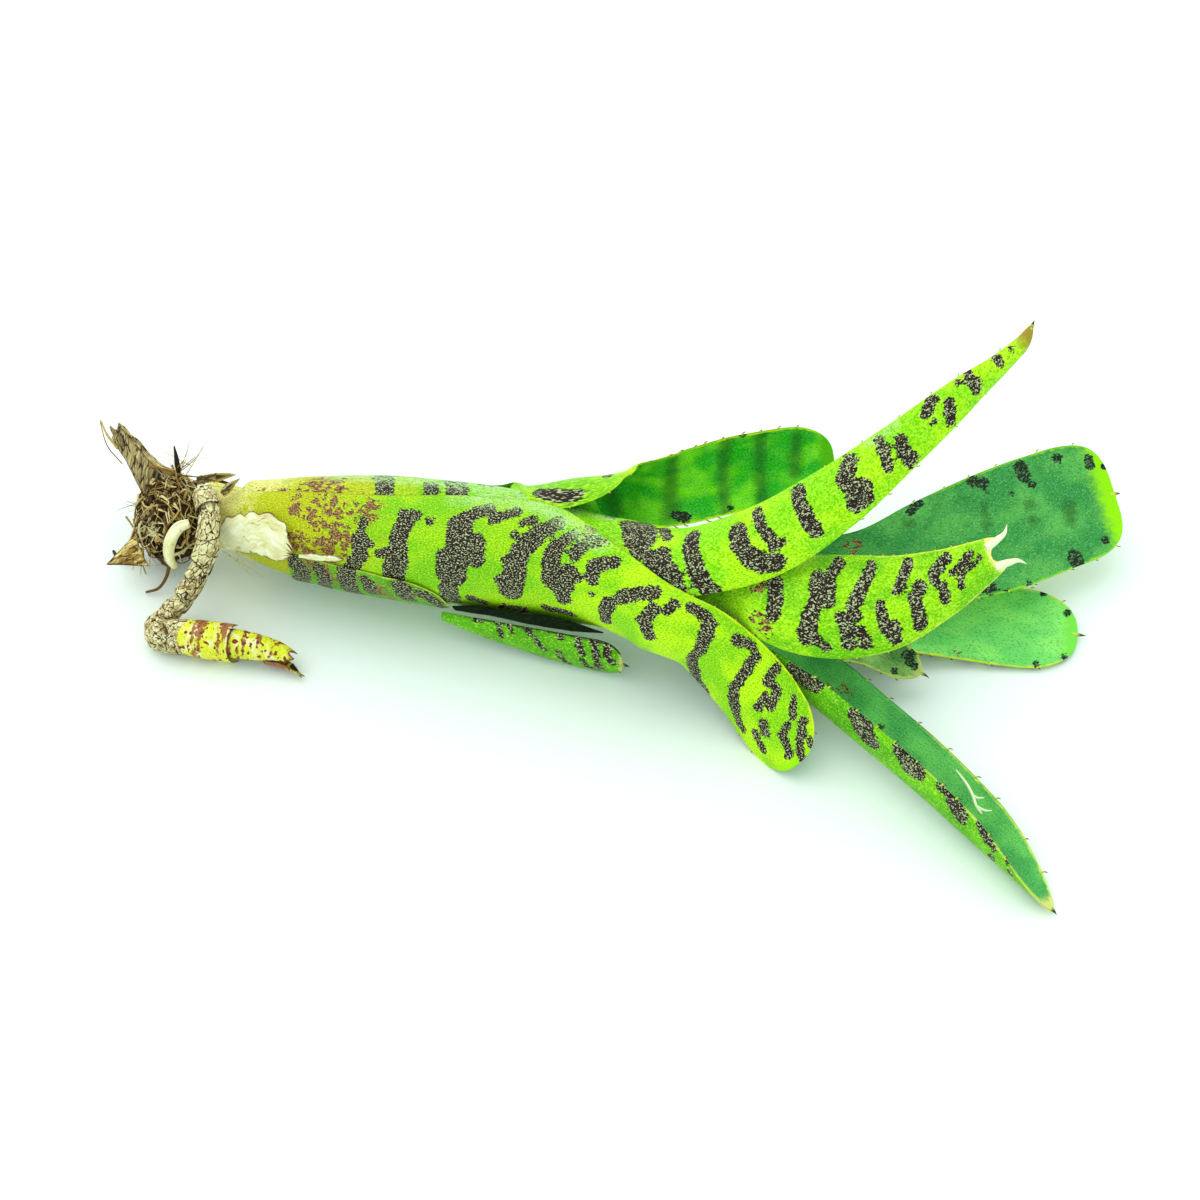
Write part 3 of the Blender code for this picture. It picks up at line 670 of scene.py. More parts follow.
def coarse_material(
    name, *colours, scale=1.0, stretch=0.35, roughness=0.8, depth=0.2, gloss=0.2, cracks=0.0, edge=None
):
    """Dry fibrous skin: three colours in streaks along the piece, then specks of the fourth.
    cracks is the width of a network of cracks in the fourth colour, edge the colour of torn margins."""
    m = Shader(name)
    s, w, key = m.attribute("flat")
    skin = m.vector(m.times(s, stretch), w, m.times(key, 3.7))
    broad = m.noise(skin, 0.5 * scale, 2.0, 0.6)
    fine = m.noise(skin, 1.8 * scale, 3.0, 0.65)
    colour = m.mix(m.step(broad, 0.38, 0.62), colours[0], colours[1])
    colour = m.mix(m.step(fine, 0.5, 0.68), colour, colours[2])
    if len(colours) > 3:
        colour = m.mix(m.step(fine, 0.42, 0.3), colour, colours[3])
    if cracks:
        bent = m.vector(m.add(m.times(s, stretch), m.fit(fine, 0.7)), m.add(w, m.fit(broad, 1.6)), key)
        cells = m.node("ShaderNodeTexVoronoi", feature="DISTANCE_TO_EDGE")
        m.fill(cells, Vector=bent, Scale=0.8 * scale)
        line = m.step(m.add(cells.outputs["Distance"], m.fit(fine, 0.2, -0.1)), cracks, cracks * 0.4)
        colour = m.mix(line, colour, colours[3])
    if edge:
        margin = m.math("MINIMUM", m.attribute("rim")[0], m.attribute("rim")[1])
        colour = m.mix(m.step(m.add(margin, m.fit(fine, 1.2, -0.6)), 0.45, 0.1), colour, edge)
    return m.finish(colour, roughness, m.add(fine, m.times(broad, 0.6)), depth, gloss)


def strand_material(name, stops, roughness=0.75):
    """Roots and straws: each strand takes one colour along the ramp from its own number."""
    m = Shader(name)
    s, w, key = m.attribute("flat")
    ramp = m.node("ShaderNodeValToRGB", key)
    while len(ramp.color_ramp.elements) < len(stops):
        ramp.color_ramp.elements.new(0.5)
    for element, (place, colour) in zip(ramp.color_ramp.elements, stops):
        element.position = place
        element.color = linear(colour)
    grain = m.noise(m.vector(s, w, m.times(key, 50.0)), 1.6, 2.0)
    colour = m.mix(m.step(grain, 0.5, 0.72, (0.0, 0.5)), ramp.outputs[0], (30, 20, 10))
    return m.finish(colour, roughness, grain, 0.08)


def spine_material():
    m = Shader("leaf spines")
    share = m.attribute("rim")[2]
    return m.finish(m.mix(m.step(share, 0.3, 0.7), (196, 214, 70), (58, 40, 22)), 0.5)


# ---------------------------------------------------------------- leaves
PATCHES = {
    "front_leaf": {
        # Faint patches: a pale waxy coat with a painted highlight along the upper margin.
        "faint": ((1.4, (56, -0.95), (72, -0.93), (86, -0.88)),),
        "dark": (
            (1.3, (15, 0.78), (19, 0.66)), (1.7, (20, 0.95), (25, 0.78)),
            (0.8, (38, -0.65), (38, -0.48), (39, -0.37)), (1.6, (38, -0.42), (38, -0.23)),
            (1.6, (37, -0.12), (35, 0.12), (34, 0.48)), (1, (46, -0.75), (49, -0.73)),
            (1.8, (47, -0.65), (46, -0.47), (46, -0.27)), (2.2, (46, -0.25), (45, -0.07), (45, 0.18)),
            (0.8, (44, -0.3), (42, -0.27)), (0.8, (40, -0.38)), (0.8, (52, -0.67)),
            (1.2, (63, -0.83), (59, -0.73)), (2.4, (58, -0.62), (58, -0.43), (58, -0.25)),
            (3, (57, -0.25), (57, -0.1)), (2, (56, 0.1), (56, 0.33)), (1.4, (62, -0.47), (62, -0.28)),
            (1, (64, -0.72), (68, -0.82)), (0.8, (69, -0.57)), (0.8, (70, -0.68), (72, -0.75)),
            (1.6, (77, -0.78), (74, -0.63)), (2, (73, -0.57), (71, -0.42), (70, -0.28)),
            (2.4, (70, -0.2), (69, 0)), (1.2, (67, -0.1)), (1, (68, -0.32)), (1, (81, -0.75), (79, -0.62)),
            (1.8, (78, -0.52), (77, -0.37)), (2.6, (78, -0.23), (80, -0.17)), (1.6, (80, -0.07), (80, 0)),
            (1, (81, -0.35), (83, -0.3)), (1.2, (82, -0.55), (83, -0.68), (85, -0.85)),
            (1.2, (86, -0.35), (86, -0.52), (87, -0.6), (89, -0.73)), (0.6, (86, -0.12)),
            (1.2, (98, -0.67), (95, -0.45), (92, -0.23)), (1.4, (90, -0.07), (89, 0.12), (89, 0.3)),
            (0.8, (102, -0.65), (101, -0.43)), (1.2, (99, -0.33), (98, 0), (100, 0.3)), (0.8, (97, 0)),
            (1, (105, -0.73), (108, -0.72)), (1, (67, 0.3), (71, 0.28)), (0.8, (76, 0.18), (81, 0.27)),
            (0.8, (60, 0.22), (63, 0.27)),
            (1.2, (109, -0.57), (110, -0.08), (111, 0.4), (116, 0.87), (118, 0.93)),
            (1, (114, -0.7), (117, -0.78)),
            (1, (119, -0.67), (120, -0.28), (121, 0.17), (124, 0.43), (127, 0.63), (129, 0.68)),
            (0.8, (123, -0.85), (124, -0.5)), (0.8, (126, -0.3), (127, -0.05)),
            (0.8, (126, -0.57), (128, -0.27)), (0.8, (130, 0.07), (132, 0.15)),
            (0.8, (131, 0.42), (134, 0.52)), (0.6, (129, -0.78), (132, -0.57)),
            (0.7, (133, -0.37), (134, -0.15), (136, -0.1), (138, 0)),
            (0.7, (134, -0.75), (136, -0.6), (138, -0.45), (140, -0.52)), (0.4, (138, -0.85), (139, -0.9)),
        ),
        "brown": (
            (1.6, (14, 0.9), (22, 0.7)), (1, (22, -0.83), (23, -0.67)), (1.6, (26, -0.8), (27, -0.63)),
            (1.6, (30, -0.83), (32, -0.7)), (1.8, (24, -0.25), (27, -0.18)), (1.8, (30, -0.47), (31, -0.17)),
            (1.4, (34, -0.47), (35, -0.25)), (0.6, (33, -0.53)), (1, (36, -0.8), (36, -0.73)),
            (1.2, (39, -0.82), (39, -0.73)), (0.8, (83, -0.92), (85, -0.98), (86, -0.95)),
        ),
    },
    "small_lower_leaf": {
        "dark": (
            (0.6, (7, -1), (8, -1)), (0.5, (12, -0.95), (13, -0.1)), (0.5, (14, -1), (15, -0.62)),
            (0.6, (18, -1), (19, -0.73)), (0.5, (20, -0.48), (22, 0)), (0.7, (25, -1), (25, -0.83)),
            (0.5, (25, -0.07), (26, 0.42), (27, 0.67)), (0.6, (29, -1), (29, -0.68), (30, -0.25)),
            (0.5, (30, 0.07), (31, 0.45), (33, 0.58)), (0.6, (32, -1), (33, -0.35), (33, 0.2), (34, 0.45)),
            (0.7, (35, -0.97), (35, -0.55), (36, -0.13)),
        ),
    },
    "raised_leaf": {
        # Faint patches: a pale waxy coat with a painted highlight along the sheath near the top of the tube.
        "faint": (
            (2.6, (20, -0.5), (50, -0.53), (70, -0.58)), (1.6, (53, -0.38), (54, -0.28)),
            (1.8, (55, -0.65), (59, -0.33)), (1.2, (75, -0.58), (78, -0.58)),
            (0.8, (146, -0.85), (144, -0.75)), (0.6, (140, -0.78), (141, -0.77)),
        ),
        "brown": (
            (1.2, (14, -0.05), (16, 0.08)), (1.8, (17, -0.23), (20, 0.08)), (1.8, (21, -0.27), (23, 0.07)),
            (0.8, (5, 0)), (0.6, (10, 0.03)), (0.6, (28, 0)),
        ),
        "dark": (
            (2.2, (31, -0.47)), (1.8, (32, -0.38), (34, 0.02)), (1.4, (42, -0.35), (43, -0.07)),
            (2, (46, -0.58), (48, -0.2)), (1.2, (48, -0.08), (49, -0.07)), (1.8, (82, -0.55), (85, -0.15)),
            (1.6, (85, -0.63), (88, -0.23), (87, 0.05)), (1, (89, -0.63), (92, -0.37)),
            (1.8, (92, 0.07), (94, 0.43), (95, 0.73)), (1.2, (89, 0.08), (92, 0.4)),
            (1.6, (98, -0.42), (98, -0.07), (99, 0.4), (100, 0.73), (101, 0.92)),
            (1.8, (108, -0.33), (108, 0.03), (109, 0.32), (111, 0.58), (113, 0.65)),
            (1.2, (113, -0.68), (113, -0.3), (114, 0.12), (114, 0.27)), (0.6, (116, 0.3)),
            (1.4, (123, -0.68), (122, -0.28), (122, 0.27), (122, 0.47)),
            (1.6, (135, -0.63), (132, -0.23), (132, 0.23), (131, 0.53)), (1.6, (134, 0.27), (133, 0.52)),
            (1, (142, -0.65), (141, -0.12), (140, 0.3)), (1.2, (145, -0.13), (144, 0.32), (144, 0.68)),
            (1, (145, 0.6)), (1, (155, -0.72), (152, -0.37)), (0.5, (152, 0.07)),
            (1, (157, -0.15), (156, 0.12), (155, 0.53)), (0.6, (161, -0.65)),
            (0.8, (164, -0.82), (163, -0.37), (163, -0.12)), (1, (164, -0.18), (163, 0.13)),
            (1, (171, -0.62), (171, -0.38)), (0.6, (175, -0.4)),
        ),
    },
    "inner_leaf": {
        "brown": ((0.8, (93, -0.05)), (1, (94, 0.5), (96, 0.68))),
        "dark": (
            (1.4, (95, -0.38), (97, 0.05), (97, 0.33)), (1.4, (109, -0.8), (107, -0.53), (107, -0.1)),
            (1.4, (104, -0.52), (105, -0.08), (104, 0.18), (104, 0.43), (104, 0.62)),
            (1.2, (103, 0.48), (105, 0.6)), (1, (107, 0.73)),
            (1.2, (117, -0.75), (114, -0.35), (112, -0.02), (112, 0.18)),
            (1.2, (110, 0.17), (111, 0.48), (111, 0.68)), (1, (113, 0.43), (114, 0.73)),
            (1, (126, -0.78), (124, -0.52), (121, -0.18)), (1, (117, 0.03), (117, 0.28), (118, 0.57)),
            (1, (119, 0.45), (119, 0.77)), (1.2, (126, -0.13), (124, 0.07), (124, 0.42), (124, 0.7)),
            (1, (134, -0.67), (130, -0.35), (129, -0.18)), (1, (130, 0.05), (130, 0.42)),
            (0.6, (139, -0.55), (136, -0.28), (133, -0.15)), (0.6, (137, -0.23), (135, -0.03), (134, 0.3)),
            (0.4, (141, -0.28), (137, -0.03)),
        ),
    },
    "broad_leaf": {
        "upper_brown": ((0.8, (115, 0.72), (116, 0.7)),),
        "upper": (
            (0.8, (132, 0.95), (130, 0.87)), (1, (145, 0.92), (148, 0.82)), (1.2, (157, 0.87), (157, 0.7)),
            (0.8, (158, 0.53)), (0.5, (153, 0.5)), (0.4, (148, 0.68)), (1, (165, 0.82)),
            (0.8, (171, 0.78), (171, 0.63)), (0.6, (174, 0.87)), (0.8, (169, -0.77)),
            (1.4, (160, -0.82), (160, -0.98)), (1.4, (140, -0.87)), (0.6, (148, -0.98)), (0.4, (143, -0.98)),
        ),
        "upper_faint": (
            (0.6, (146, 0.48), (145, 0.15)), (1, (156, 0.22)), (0.8, (155, -0.02)),
            (1.2, (164, 0), (163, -0.22)), (0.8, (129, 0.67)),
        ),
    },
    "back_leaf": {
        "upper_faint": (
            (1.4, (98, 0.8), (98, -0.72)), (1.2, (111, 1), (108, -0.88)), (1.2, (118, 0.97), (117, -0.8)),
            (1.2, (126, 0.72), (125, -0.23)), (1.2, (81, 0.95), (88, -0.63)),
        ),
        "upper": ((1, (99, -0.73), (100, -0.83)), (0.5, (114, 1)), (0.6, (109, -0.85))),
        "dark": ((1.6, (76, 0.75), (77, 0.78)), (1, (82, 0.53))),
    },
    "ground_leaf": {
        "upper_brown": ((0.4, (142, -0.83)),),
        "upper": ((0.6, (160, 0.98)), (0.6, (165, 0.78)), (0.8, (165, -1)), (0.6, (159, -0.9))),
    },
    "short_leaf": {
        "upper": ((0.8, (136, 0.53), (138, 0.17)), (0.6, (135, -0.6)), (0.6, (137, 1))),
    },
    "channel_leaf": {
        "dark": (
            (3, (108, -0.93), (112, -0.93)), (2.6, (125, -0.9), (127, -0.75)),
            (1.6, (128, -0.6), (130, -0.63)), (1.6, (136, -0.92), (138, -0.87)),
            (2, (139, -0.78), (141, -0.82)), (1.2, (147, -0.98), (149, -1)),
            (1.8, (151, -0.87), (153, -0.75)), (1.4, (158, -1), (160, -0.88)), (0.8, (162, -0.82)),
            (1, (162, -0.4)), (0.6, (167, -0.68)), (0.6, (166, -1)),
        ),
        "upper": ((0.6, (127, 0.48)),),
        "upper_brown": ((0.8, (115, 0.48)), (0.8, (117, 0.63))),
    },
    "torn_sheath": {
        "dark": (
            (1.8, (1, -0.82), (3, -0.48), (2, 0.1)), (1.4, (7, -0.77), (8, -0.4), (7, 0.2)),
            (1.9, (13, -0.98), (13, -0.17), (14, 0.3)), (1.3, (17, -0.7), (18, -0.23)),
            (1.4, (24, -0.82), (25, -0.27)), (1.1, (27, -0.75), (31, -0.52)),
        ),
        "brown": ((1.6, (4, -0.9), (10, -0.6)), (1, (20, -0.5), (21, -0.1))),
    },
}

LIME = (192, 240, 0)
LIME_DEEP = (138, 212, 0)
YELLOW = (192, 188, 6)
# Each leaf's greens: its lower side light and deep, then its upper side light and deep.
LEAF_GREENS = {
    "small_lower_leaf": ((88, 190, 0), (40, 140, 0), (60, 140, 40), (40, 110, 40)),
    "front_leaf": (LIME, LIME_DEEP, (70, 160, 30), (40, 120, 40)),
    # The back leaf's upper greens are brighter than the other upper sides: painted light, standing for light
    # through the leaf and lifting its shade.
    "back_leaf": (LIME, LIME_DEEP, (128, 240, 0), (34, 190, 0)),
    "short_leaf": ((150, 200, 84), (96, 150, 56), (150, 196, 96), (84, 136, 60)),
    "raised_leaf": ((182, 240, 0), (140, 222, 0), (40, 140, 24), (24, 112, 24)),
    "ground_leaf": (LIME, LIME_DEEP, (138, 232, 104), (108, 212, 98)),
    "channel_leaf": ((116, 204, 0), (80, 172, 2), (108, 200, 92), (70, 166, 80)),
    "broad_leaf": (LIME, LIME_DEEP, (88, 176, 76), (52, 146, 64)),
    "inner_leaf": ((168, 232, 0), (116, 200, 0), (60, 150, 60), (40, 120, 50)),
}
YELLOW_BASES = ("front_leaf", "back_leaf", "raised_leaf")
# How each leaf ends: colours of its tip and rim, how long the tip's colour is and where the rim's begins.
LEAF_ENDS = {
    "small_lower_leaf": ((206, 200, 120), (52, 60, 26), 0, 0),
    "front_leaf": ((160, 232, 0), (222, 246, 30), 2, 100),
    "back_leaf": ((90, 190, 0), (206, 240, 30), 4, 78),
    "short_leaf": ((196, 206, 120), (190, 210, 100), 2, 110),
    "raised_leaf": ((164, 140, 44), (190, 236, 30), 7, 130),
    "ground_leaf": ((120, 220, 70), (206, 226, 60), 3, 110),
    "channel_leaf": ((216, 216, 120), (206, 226, 90), 3, 130),
    "broad_leaf": ((150, 228, 0), (140, 210, 20), 5, 130),
    "inner_leaf": ((250, 240, 140), (230, 238, 80), 2, 110),
}
# Where each leaf's teeth are: sides, first and last place along it, gap between teeth and their size.
TEETH = {
    "small_lower_leaf": ((1,), 26, 38, 4, 0.55),
    "front_leaf": ((-1, 1), 104, 140, 4.5, 0.65),
    "back_leaf": ((-1, 1), 74, 130, 3.4, 0.85),
    "short_leaf": ((-1, 1), 124, 139, 3, 0.7),
    "raised_leaf": ((-1, 1), 130, 180, 8, 0.75),
    "ground_leaf": ((-1, 1), 125, 166, 7, 0.85),
    "channel_leaf": ((-1, 1), 112, 172, 6.2, 1.0),
    "broad_leaf": ((-1, 1), 130, 172, 7, 0.75),
    "inner_leaf": ((-1, 1), 112, 142, 4, 0.7),
}
# Leaves that end in a small point: its length and how much it bends down.
MUCROS = {
    "small_lower_leaf": (1.4, 0.2),
    "short_leaf": (1.8, 0.3),
    "raised_leaf": (1.0, -0.6),
    "ground_leaf": (1.8, 0.1),
    "channel_leaf": (1.2, 0.3),
    "broad_leaf": (1.4, 0.5),
}
# Stretches of the lower sides that carry plain bands: first and last place along, then share across.
STRIPED = {
    "back_leaf": ((0, 60, -1, 1), (92, 140, -1, 1)),
    "short_leaf": ((0, 150, -1, 1),),
    "raised_leaf": ((0, 85, -1, -0.55),),
    "ground_leaf": ((0, 170, -1, 1),),
    "channel_leaf": ((0, 180, 0.1, 1),),
    "broad_leaf": ((0, 180, -1, 1),),
}
# Pale raised lines on the upper sides, each as place along, share across and radius.
RAISED_LINES = {
    "channel_leaf": (
        ((144, 0.76, 0.12), (147, 0.70, 0.24), (149, 0.63, 0.26), (151, 0.54, 0.24), (153, 0.50, 0.14)),
        ((151, 0.54, 0.22), (153, 0.60, 0.2), (154.5, 0.69, 0.1)),
        ((149, 0.63, 0.22), (150.5, 0.68, 0.2), (151.5, 0.76, 0.1)),
    ),
}
# Torn horns at a leaf's end: column of the grid they stand on, the side they bend to and their length.
HORNS = {"inner_leaf": ((10, -1, 5.0), (50, 1, 5.4))}


def on_leaf(grid, stations, place, share, facing):
    """The point on a leaf's upper side at a place along it and a share across it."""
    k = int(np.searchsorted(stations, place))
    column = round((share + 1) / 2 * (grid.shape[1] - 1))
    return grid[k, column] + 0.75 * LEAF_THICKNESS * facing[k]


spines = spine_material()
horn = Shader("scar and horns").finish((244, 244, 206), 0.5)
for number, (name, leaf) in enumerate(LEAVES.items()):
    piece = Piece()
    shape = {key: leaf[key] for key in ("end", "notch", "crease", "reach") if key in leaf}
    build = dict(rows=leaf["rows"], tip=leaf["tip"], rings=LEAF_RINGS, columns=LEAF_COLUMNS)
    build.update(thickness=LEAF_THICKNESS, seed=number + 1)
    marks = dict(patches=PATCHES[name], striped=STRIPED.get(name, ()))
    grid, stations, facing, along = add_blade(piece, **build, **marks, **shape)
    # The leaf without its own margin line, because that is what fits the CAD node's box.
    plain = Piece()
    shape.pop("reach", None)
    add_blade(plain, **build, **shape)
    shift = box_shift(name, plain)
    sides, start, stop, gap, size = TEETH[name]
    add_spines(piece, grid, stations, along, start, stop, gap, size, number + 50, sides)
    if name in MUCROS:
        length, bend = MUCROS[name]
        tip = grid[-1, LEAF_COLUMNS // 2]
        droop = np.array([0, 0, -1.0]) * bend
        swept(piece, bent_point(tip, along[-1], droop, length, (-1.2, 0, 0.5), MUCRO), 8, 8, 1)
    for line in RAISED_LINES.get(name, ()):
        rows = [(*on_leaf(grid, stations, at, share, facing), 1.4 * radius) for at, share, radius in line]
        swept(piece, rows, 6, 24, 2)
    for column, side, length in HORNS.get(name, ()):
        root = grid[-8, column]
        out = side * unit(grid[-8, -1] - grid[-8, 0])
        swept(piece, bent_point(root, along[-8], out, length, (-1.5, 0, 0.9), HORN), 8, 16, 2)
    tip_colour, rim_colour, tip_length, rim_from = LEAF_ENDS[name]
    ends = dict(tip=tip_colour, rim=rim_colour, tip_length=tip_length, rim_from=rim_from)
    yellow = YELLOW if name in YELLOW_BASES else None
    skin = leaf_material(name + " skin", *LEAF_GREENS[name], yellow=yellow, **ends)
    piece.make(name + "_look", [skin, spines, horn], [name], shift)


# ---------------------------------------------------------------- dry pieces and the torn sheath
TORN_SHEATH = tube_sheath(0.2, (-60, 112, 76), (-50, 116, 76), (-42, 118, 72))
TORN_SHEATH += tube_sheath(0.05, (-34, 121, 60), (-30, 132, 24))
# A loose sheath under the tube, coloured near-black: painted shade for the shadowed slit between the tube and
# the small lower leaf.
UNDER_SHEATH = tube_sheath(-0.1, (-27, 119, 18), (-22, 117, 27))
UNDER_SHEATH += tube_sheath(-0.4, (-12, 116, 30), (-4, 112, 36), (0.5, 111, 36), (4.5, 113, 26))
PAPERY_BRACT = tube_sheath(-0.8, (-73.6, 84, 24), (-70.6, 74, 46), (-66.0, 60, 44), (-61.8, 58, 46))
PAPERY_BRACT += tube_sheath(-0.8, (-59.6, 65, 34), (-56.8, 70, 6))
BRACT_STRIP = tube_sheath(-0.8, (-56.2, 70, 6), (-52, 69, 8), (-47.5, 67, 6))
BASE_SCALE = all_facing(
    (0.1, 0.5, -0.8), (-94.3, 17.6, 10.4, 7.8, 80), (-96.8, 17, 9.4, 6, 75), (-101.4, 15.8, 7.6, 3, 70),
)
DARK_BRACT = tube_sheath(-1.3, (-73.4, 24, 10), (-72.4, 16, 16), (-70.6, 4, 10))
REAR_BRACT = all_facing(
    (0.1, 0.3, -0.9), (-82.6, 27.6, 20.4, 2.6, 70), (-78.6, 28.2, 20.8, 2.4, 60),
    (-74.4, 28.4, 21.2, 1.6, 50),
)
paper = coarse_material(
    "papery bract", (240, 238, 196), (224, 214, 152), (250, 248, 222), (190, 164, 98), scale=0.6, depth=0.15,
    edge=(132, 106, 60)
)
straw = coarse_material(
    "straw bract", (206, 176, 92), (150, 112, 46), (236, 218, 150), (84, 56, 22), cracks=0.05,
    edge=(70, 46, 18),
)
dark_dry = coarse_material(
    "dark bract", (84, 66, 34), (44, 32, 18), (176, 152, 84), (24, 16, 10), edge=(190, 164, 92),
)
torn_skin = leaf_material(
    "torn sheath skin",
    lower=(96, 158, 44),
    lower_deep=(58, 98, 40),
    upper=(104, 160, 60),
    upper_deep=(70, 112, 52),
    tip=(120, 170, 40),
    rim=(186, 210, 70),
    tip_length=0,
)
# The under sheath's near-black colours are painted shade, standing for the shadowed slit under the tube.
under = coarse_material(
    "under sheath", (5, 10, 3), (12, 26, 6), (30, 54, 16), scale=1.2, stretch=0.5, depth=0.3, gloss=0.05,
)
DRY = (
    ("torn_sheath", TORN_SHEATH, None, torn_skin, "leaf_green", 60),
    ("under_sheath", UNDER_SHEATH, (13, 1.3), under, "leaf_green", 61),
    ("papery_bract", PAPERY_BRACT, None, paper, "dry_bract", 70),
    ("bract_strip", BRACT_STRIP, (2, 2), paper, "dry_bract", 71),
    ("base_scale", BASE_SCALE, (7, 1.3), straw, "dry_bract", 72),
    ("dark_bract", DARK_BRACT, (4, 1.2), dark_dry, "dry_bract", 73),
    ("rear_bract", REAR_BRACT, (4, 1.3), dark_dry, "dry_bract", 74),
)
DRY_RINGS, DRY_COLUMNS, DRY_THICKNESS = 70, 40, 0.28
for name, rows, tip, skin, slot, seed in DRY:
    piece = Piece()
    build = dict(rings=DRY_RINGS, columns=DRY_COLUMNS, thickness=DRY_THICKNESS, waves=0.25, seed=seed)
    add_blade(piece, rows, tip, patches=PATCHES.get(name), torn=0.12 if "bract" in name else 0.0, **build)
    piece.make(name + "_look", [skin], [name], box_shift(name, piece))


# ---------------------------------------------------------------- root end
def strand_rows(start, heading, length, radius, curl, rng, taper=0.3, floor=0.25, steps=7):
    """Rows of a strand that wanders from a start point."""
    point = np.array(start, float)
    heading = unit(np.array(heading, float))
    bend = rng.normal(size=3) * curl
    rows = []
    for k in range(steps):
        rows.append((*point, radius * (1 - (1 - taper) * k / (steps - 1))))
        heading = unit(heading + bend / steps + rng.normal(size=3) * curl * 0.35)
        point = point + heading * length / (steps - 1)
        point[2] = max(point[2], floor)
    return rows


ROOT_STOPS = (
    (0, (22, 13, 8)), (0.35, (66, 40, 16)), (0.6, (140, 98, 38)), (0.8, (220, 190, 112)),
    (1, (250, 240, 190)),
)
root_colours = strand_material("roots", ROOT_STOPS)
earth = coarse_material(
    "root mass", (34, 20, 10), (70, 44, 20), (124, 88, 42), (10, 6, 4), scale=1.2, stretch=1.0, depth=0.5,
)
bark = coarse_material(
    "old runner bark", (186, 164, 108), (126, 100, 56), (224, 208, 156), (40, 28, 16), scale=1.1,
    stretch=0.25, depth=0.5, cracks=0.08
)
ROOT_BALL_CENTRE = np.array((-89.0, 26.4, 9.6))
ROOT_BALL_RADII = np.array((6.9, 8.8, 9.4))
ROOT_STRANDS, LOOSE_HAIRS = 420, 46
# Where straws lie over the root mass: from, to, how many and how thick.
ROOT_STRAWS = (
    (((-91, 33, 17), (-83.5, 27.5, 19.5)), 14, 0.28), (((-92.5, 32, 15), (-87, 20, 17.5)), 10, 0.26),
    (((-94, 30.5, 14), (-95, 21, 7)), 12, 0.3), (((-95.5, 27, 9), (-96.5, 20.5, 3)), 12, 0.34),
    (((-88, 22, 17), (-84, 20.5, 10)), 8, 0.22), (((-86.5, 31, 18.5), (-82, 33, 22.5)), 9, 0.08),
    (((-86.5, 31.5, 18.5), (-89, 33.5, 22.5)), 7, 0.08), (((-95, 30, 10), (-98.5, 31.5, 8)), 6, 0.1),
)


def add_root_ball():
    rng = np.random.default_rng(5)
    piece = Piece()
    rings, sides = 60, 90
    polar = np.linspace(0.02, math.pi - 0.02, rings)[:, None]
    turn = np.linspace(0, 2 * math.pi, sides, endpoint=False)
    ways = (np.sin(polar) * np.cos(turn), np.sin(polar) * np.sin(turn), np.cos(polar) * np.ones(sides))
    ways = np.stack(ways, axis=-1).reshape(-1, 3)
    swell = 0.88 + 0.09 * ripple(ways * 8, 5, 3) + 0.07 * ripple(ways * 8, 1.4, 4)
    points = ROOT_BALL_CENTRE + ways * ROOT_BALL_RADII * swell[:, None]
    points[:, 2] = np.maximum(points[:, 2], 0.3)
    piece.add(points, closed_faces(rings, sides, flip=True), flat=ways * 8)
    for _ in range(ROOT_STRANDS):
        way = unit(rng.normal(size=3))
        if way[2] < -0.6:
            way[2] *= -1
        start = ROOT_BALL_CENTRE + way * ROOT_BALL_RADII * rng.uniform(0.84, 0.98)
        heading = np.cross(way, rng.normal(size=3))
        rows = []
        length = rng.uniform(4, 13)
        radius = rng.choice([0.1, 0.18, 0.3, 0.45], p=[0.3, 0.3, 0.25, 0.15])
        for x, y, z, r in strand_rows(start, heading, length, radius, 0.7, rng, floor=0.2):
            out = (np.array((x, y, z)) - ROOT_BALL_CENTRE) / ROOT_BALL_RADII
            size = np.linalg.norm(out)
            hold = np.clip(size, 0.86, 1.07) / max(size, 1e-6)
            held = ROOT_BALL_CENTRE + out * hold * ROOT_BALL_RADII
            rows.append((held[0], held[1], max(held[2], 0.25), r))
        pale = rng.uniform(0.65, 1.0) if rng.random() < 0.42 else rng.uniform(0.0, 0.6)
        swept(piece, rows, 5, 12, 1, key=pale)
    for _ in range(LOOSE_HAIRS):
        way = unit(rng.normal(size=3) + (-0.3, 0.1, 0.1))
        start = ROOT_BALL_CENTRE + way * ROOT_BALL_RADII * 0.9
        heading = way + 0.5 * rng.normal(size=3)
        rows = strand_rows(start, heading, rng.uniform(3, 6.5), rng.uniform(0.05, 0.1), 1.0, rng)
        swept(piece, rows, 4, 14, 1, key=rng.uniform(0.1, 0.9))
    for (first, last), count, radius in ROOT_STRAWS:
        for _ in range(count):
            start = np.array(first) + rng.normal(size=3) * 1.1
            end = np.array(last) + rng.normal(size=3) * 1.6
            length = np.linalg.norm(end - start)
            rows = strand_rows(start, end - start, length, radius * rng.uniform(0.6, 1.4), 0.25, rng)
            swept(piece, rows, 5, 12, 1, key=rng.uniform(0.55, 1.0))
    piece.make("root_ball_look", [earth, root_colours], ["root_ball"])


add_root_ball()


def ridged(count, depth, seed):
    """Relief for a woody piece: ridges that wander along it, and lumps."""

    def relief(s, turn):
        flat = np.stack(np.broadcast_arrays(s * 0.5, 3 * np.cos(turn), 3 * np.sin(turn)), axis=-1)
        shape = flat.shape[:2]
        lumps = ripple(flat.reshape(-1, 3), 2.6, seed).reshape(shape)
        return 1 + depth * np.sin(count * turn + 1.5 * lumps) + depth * 1.4 * lumps

    return relief


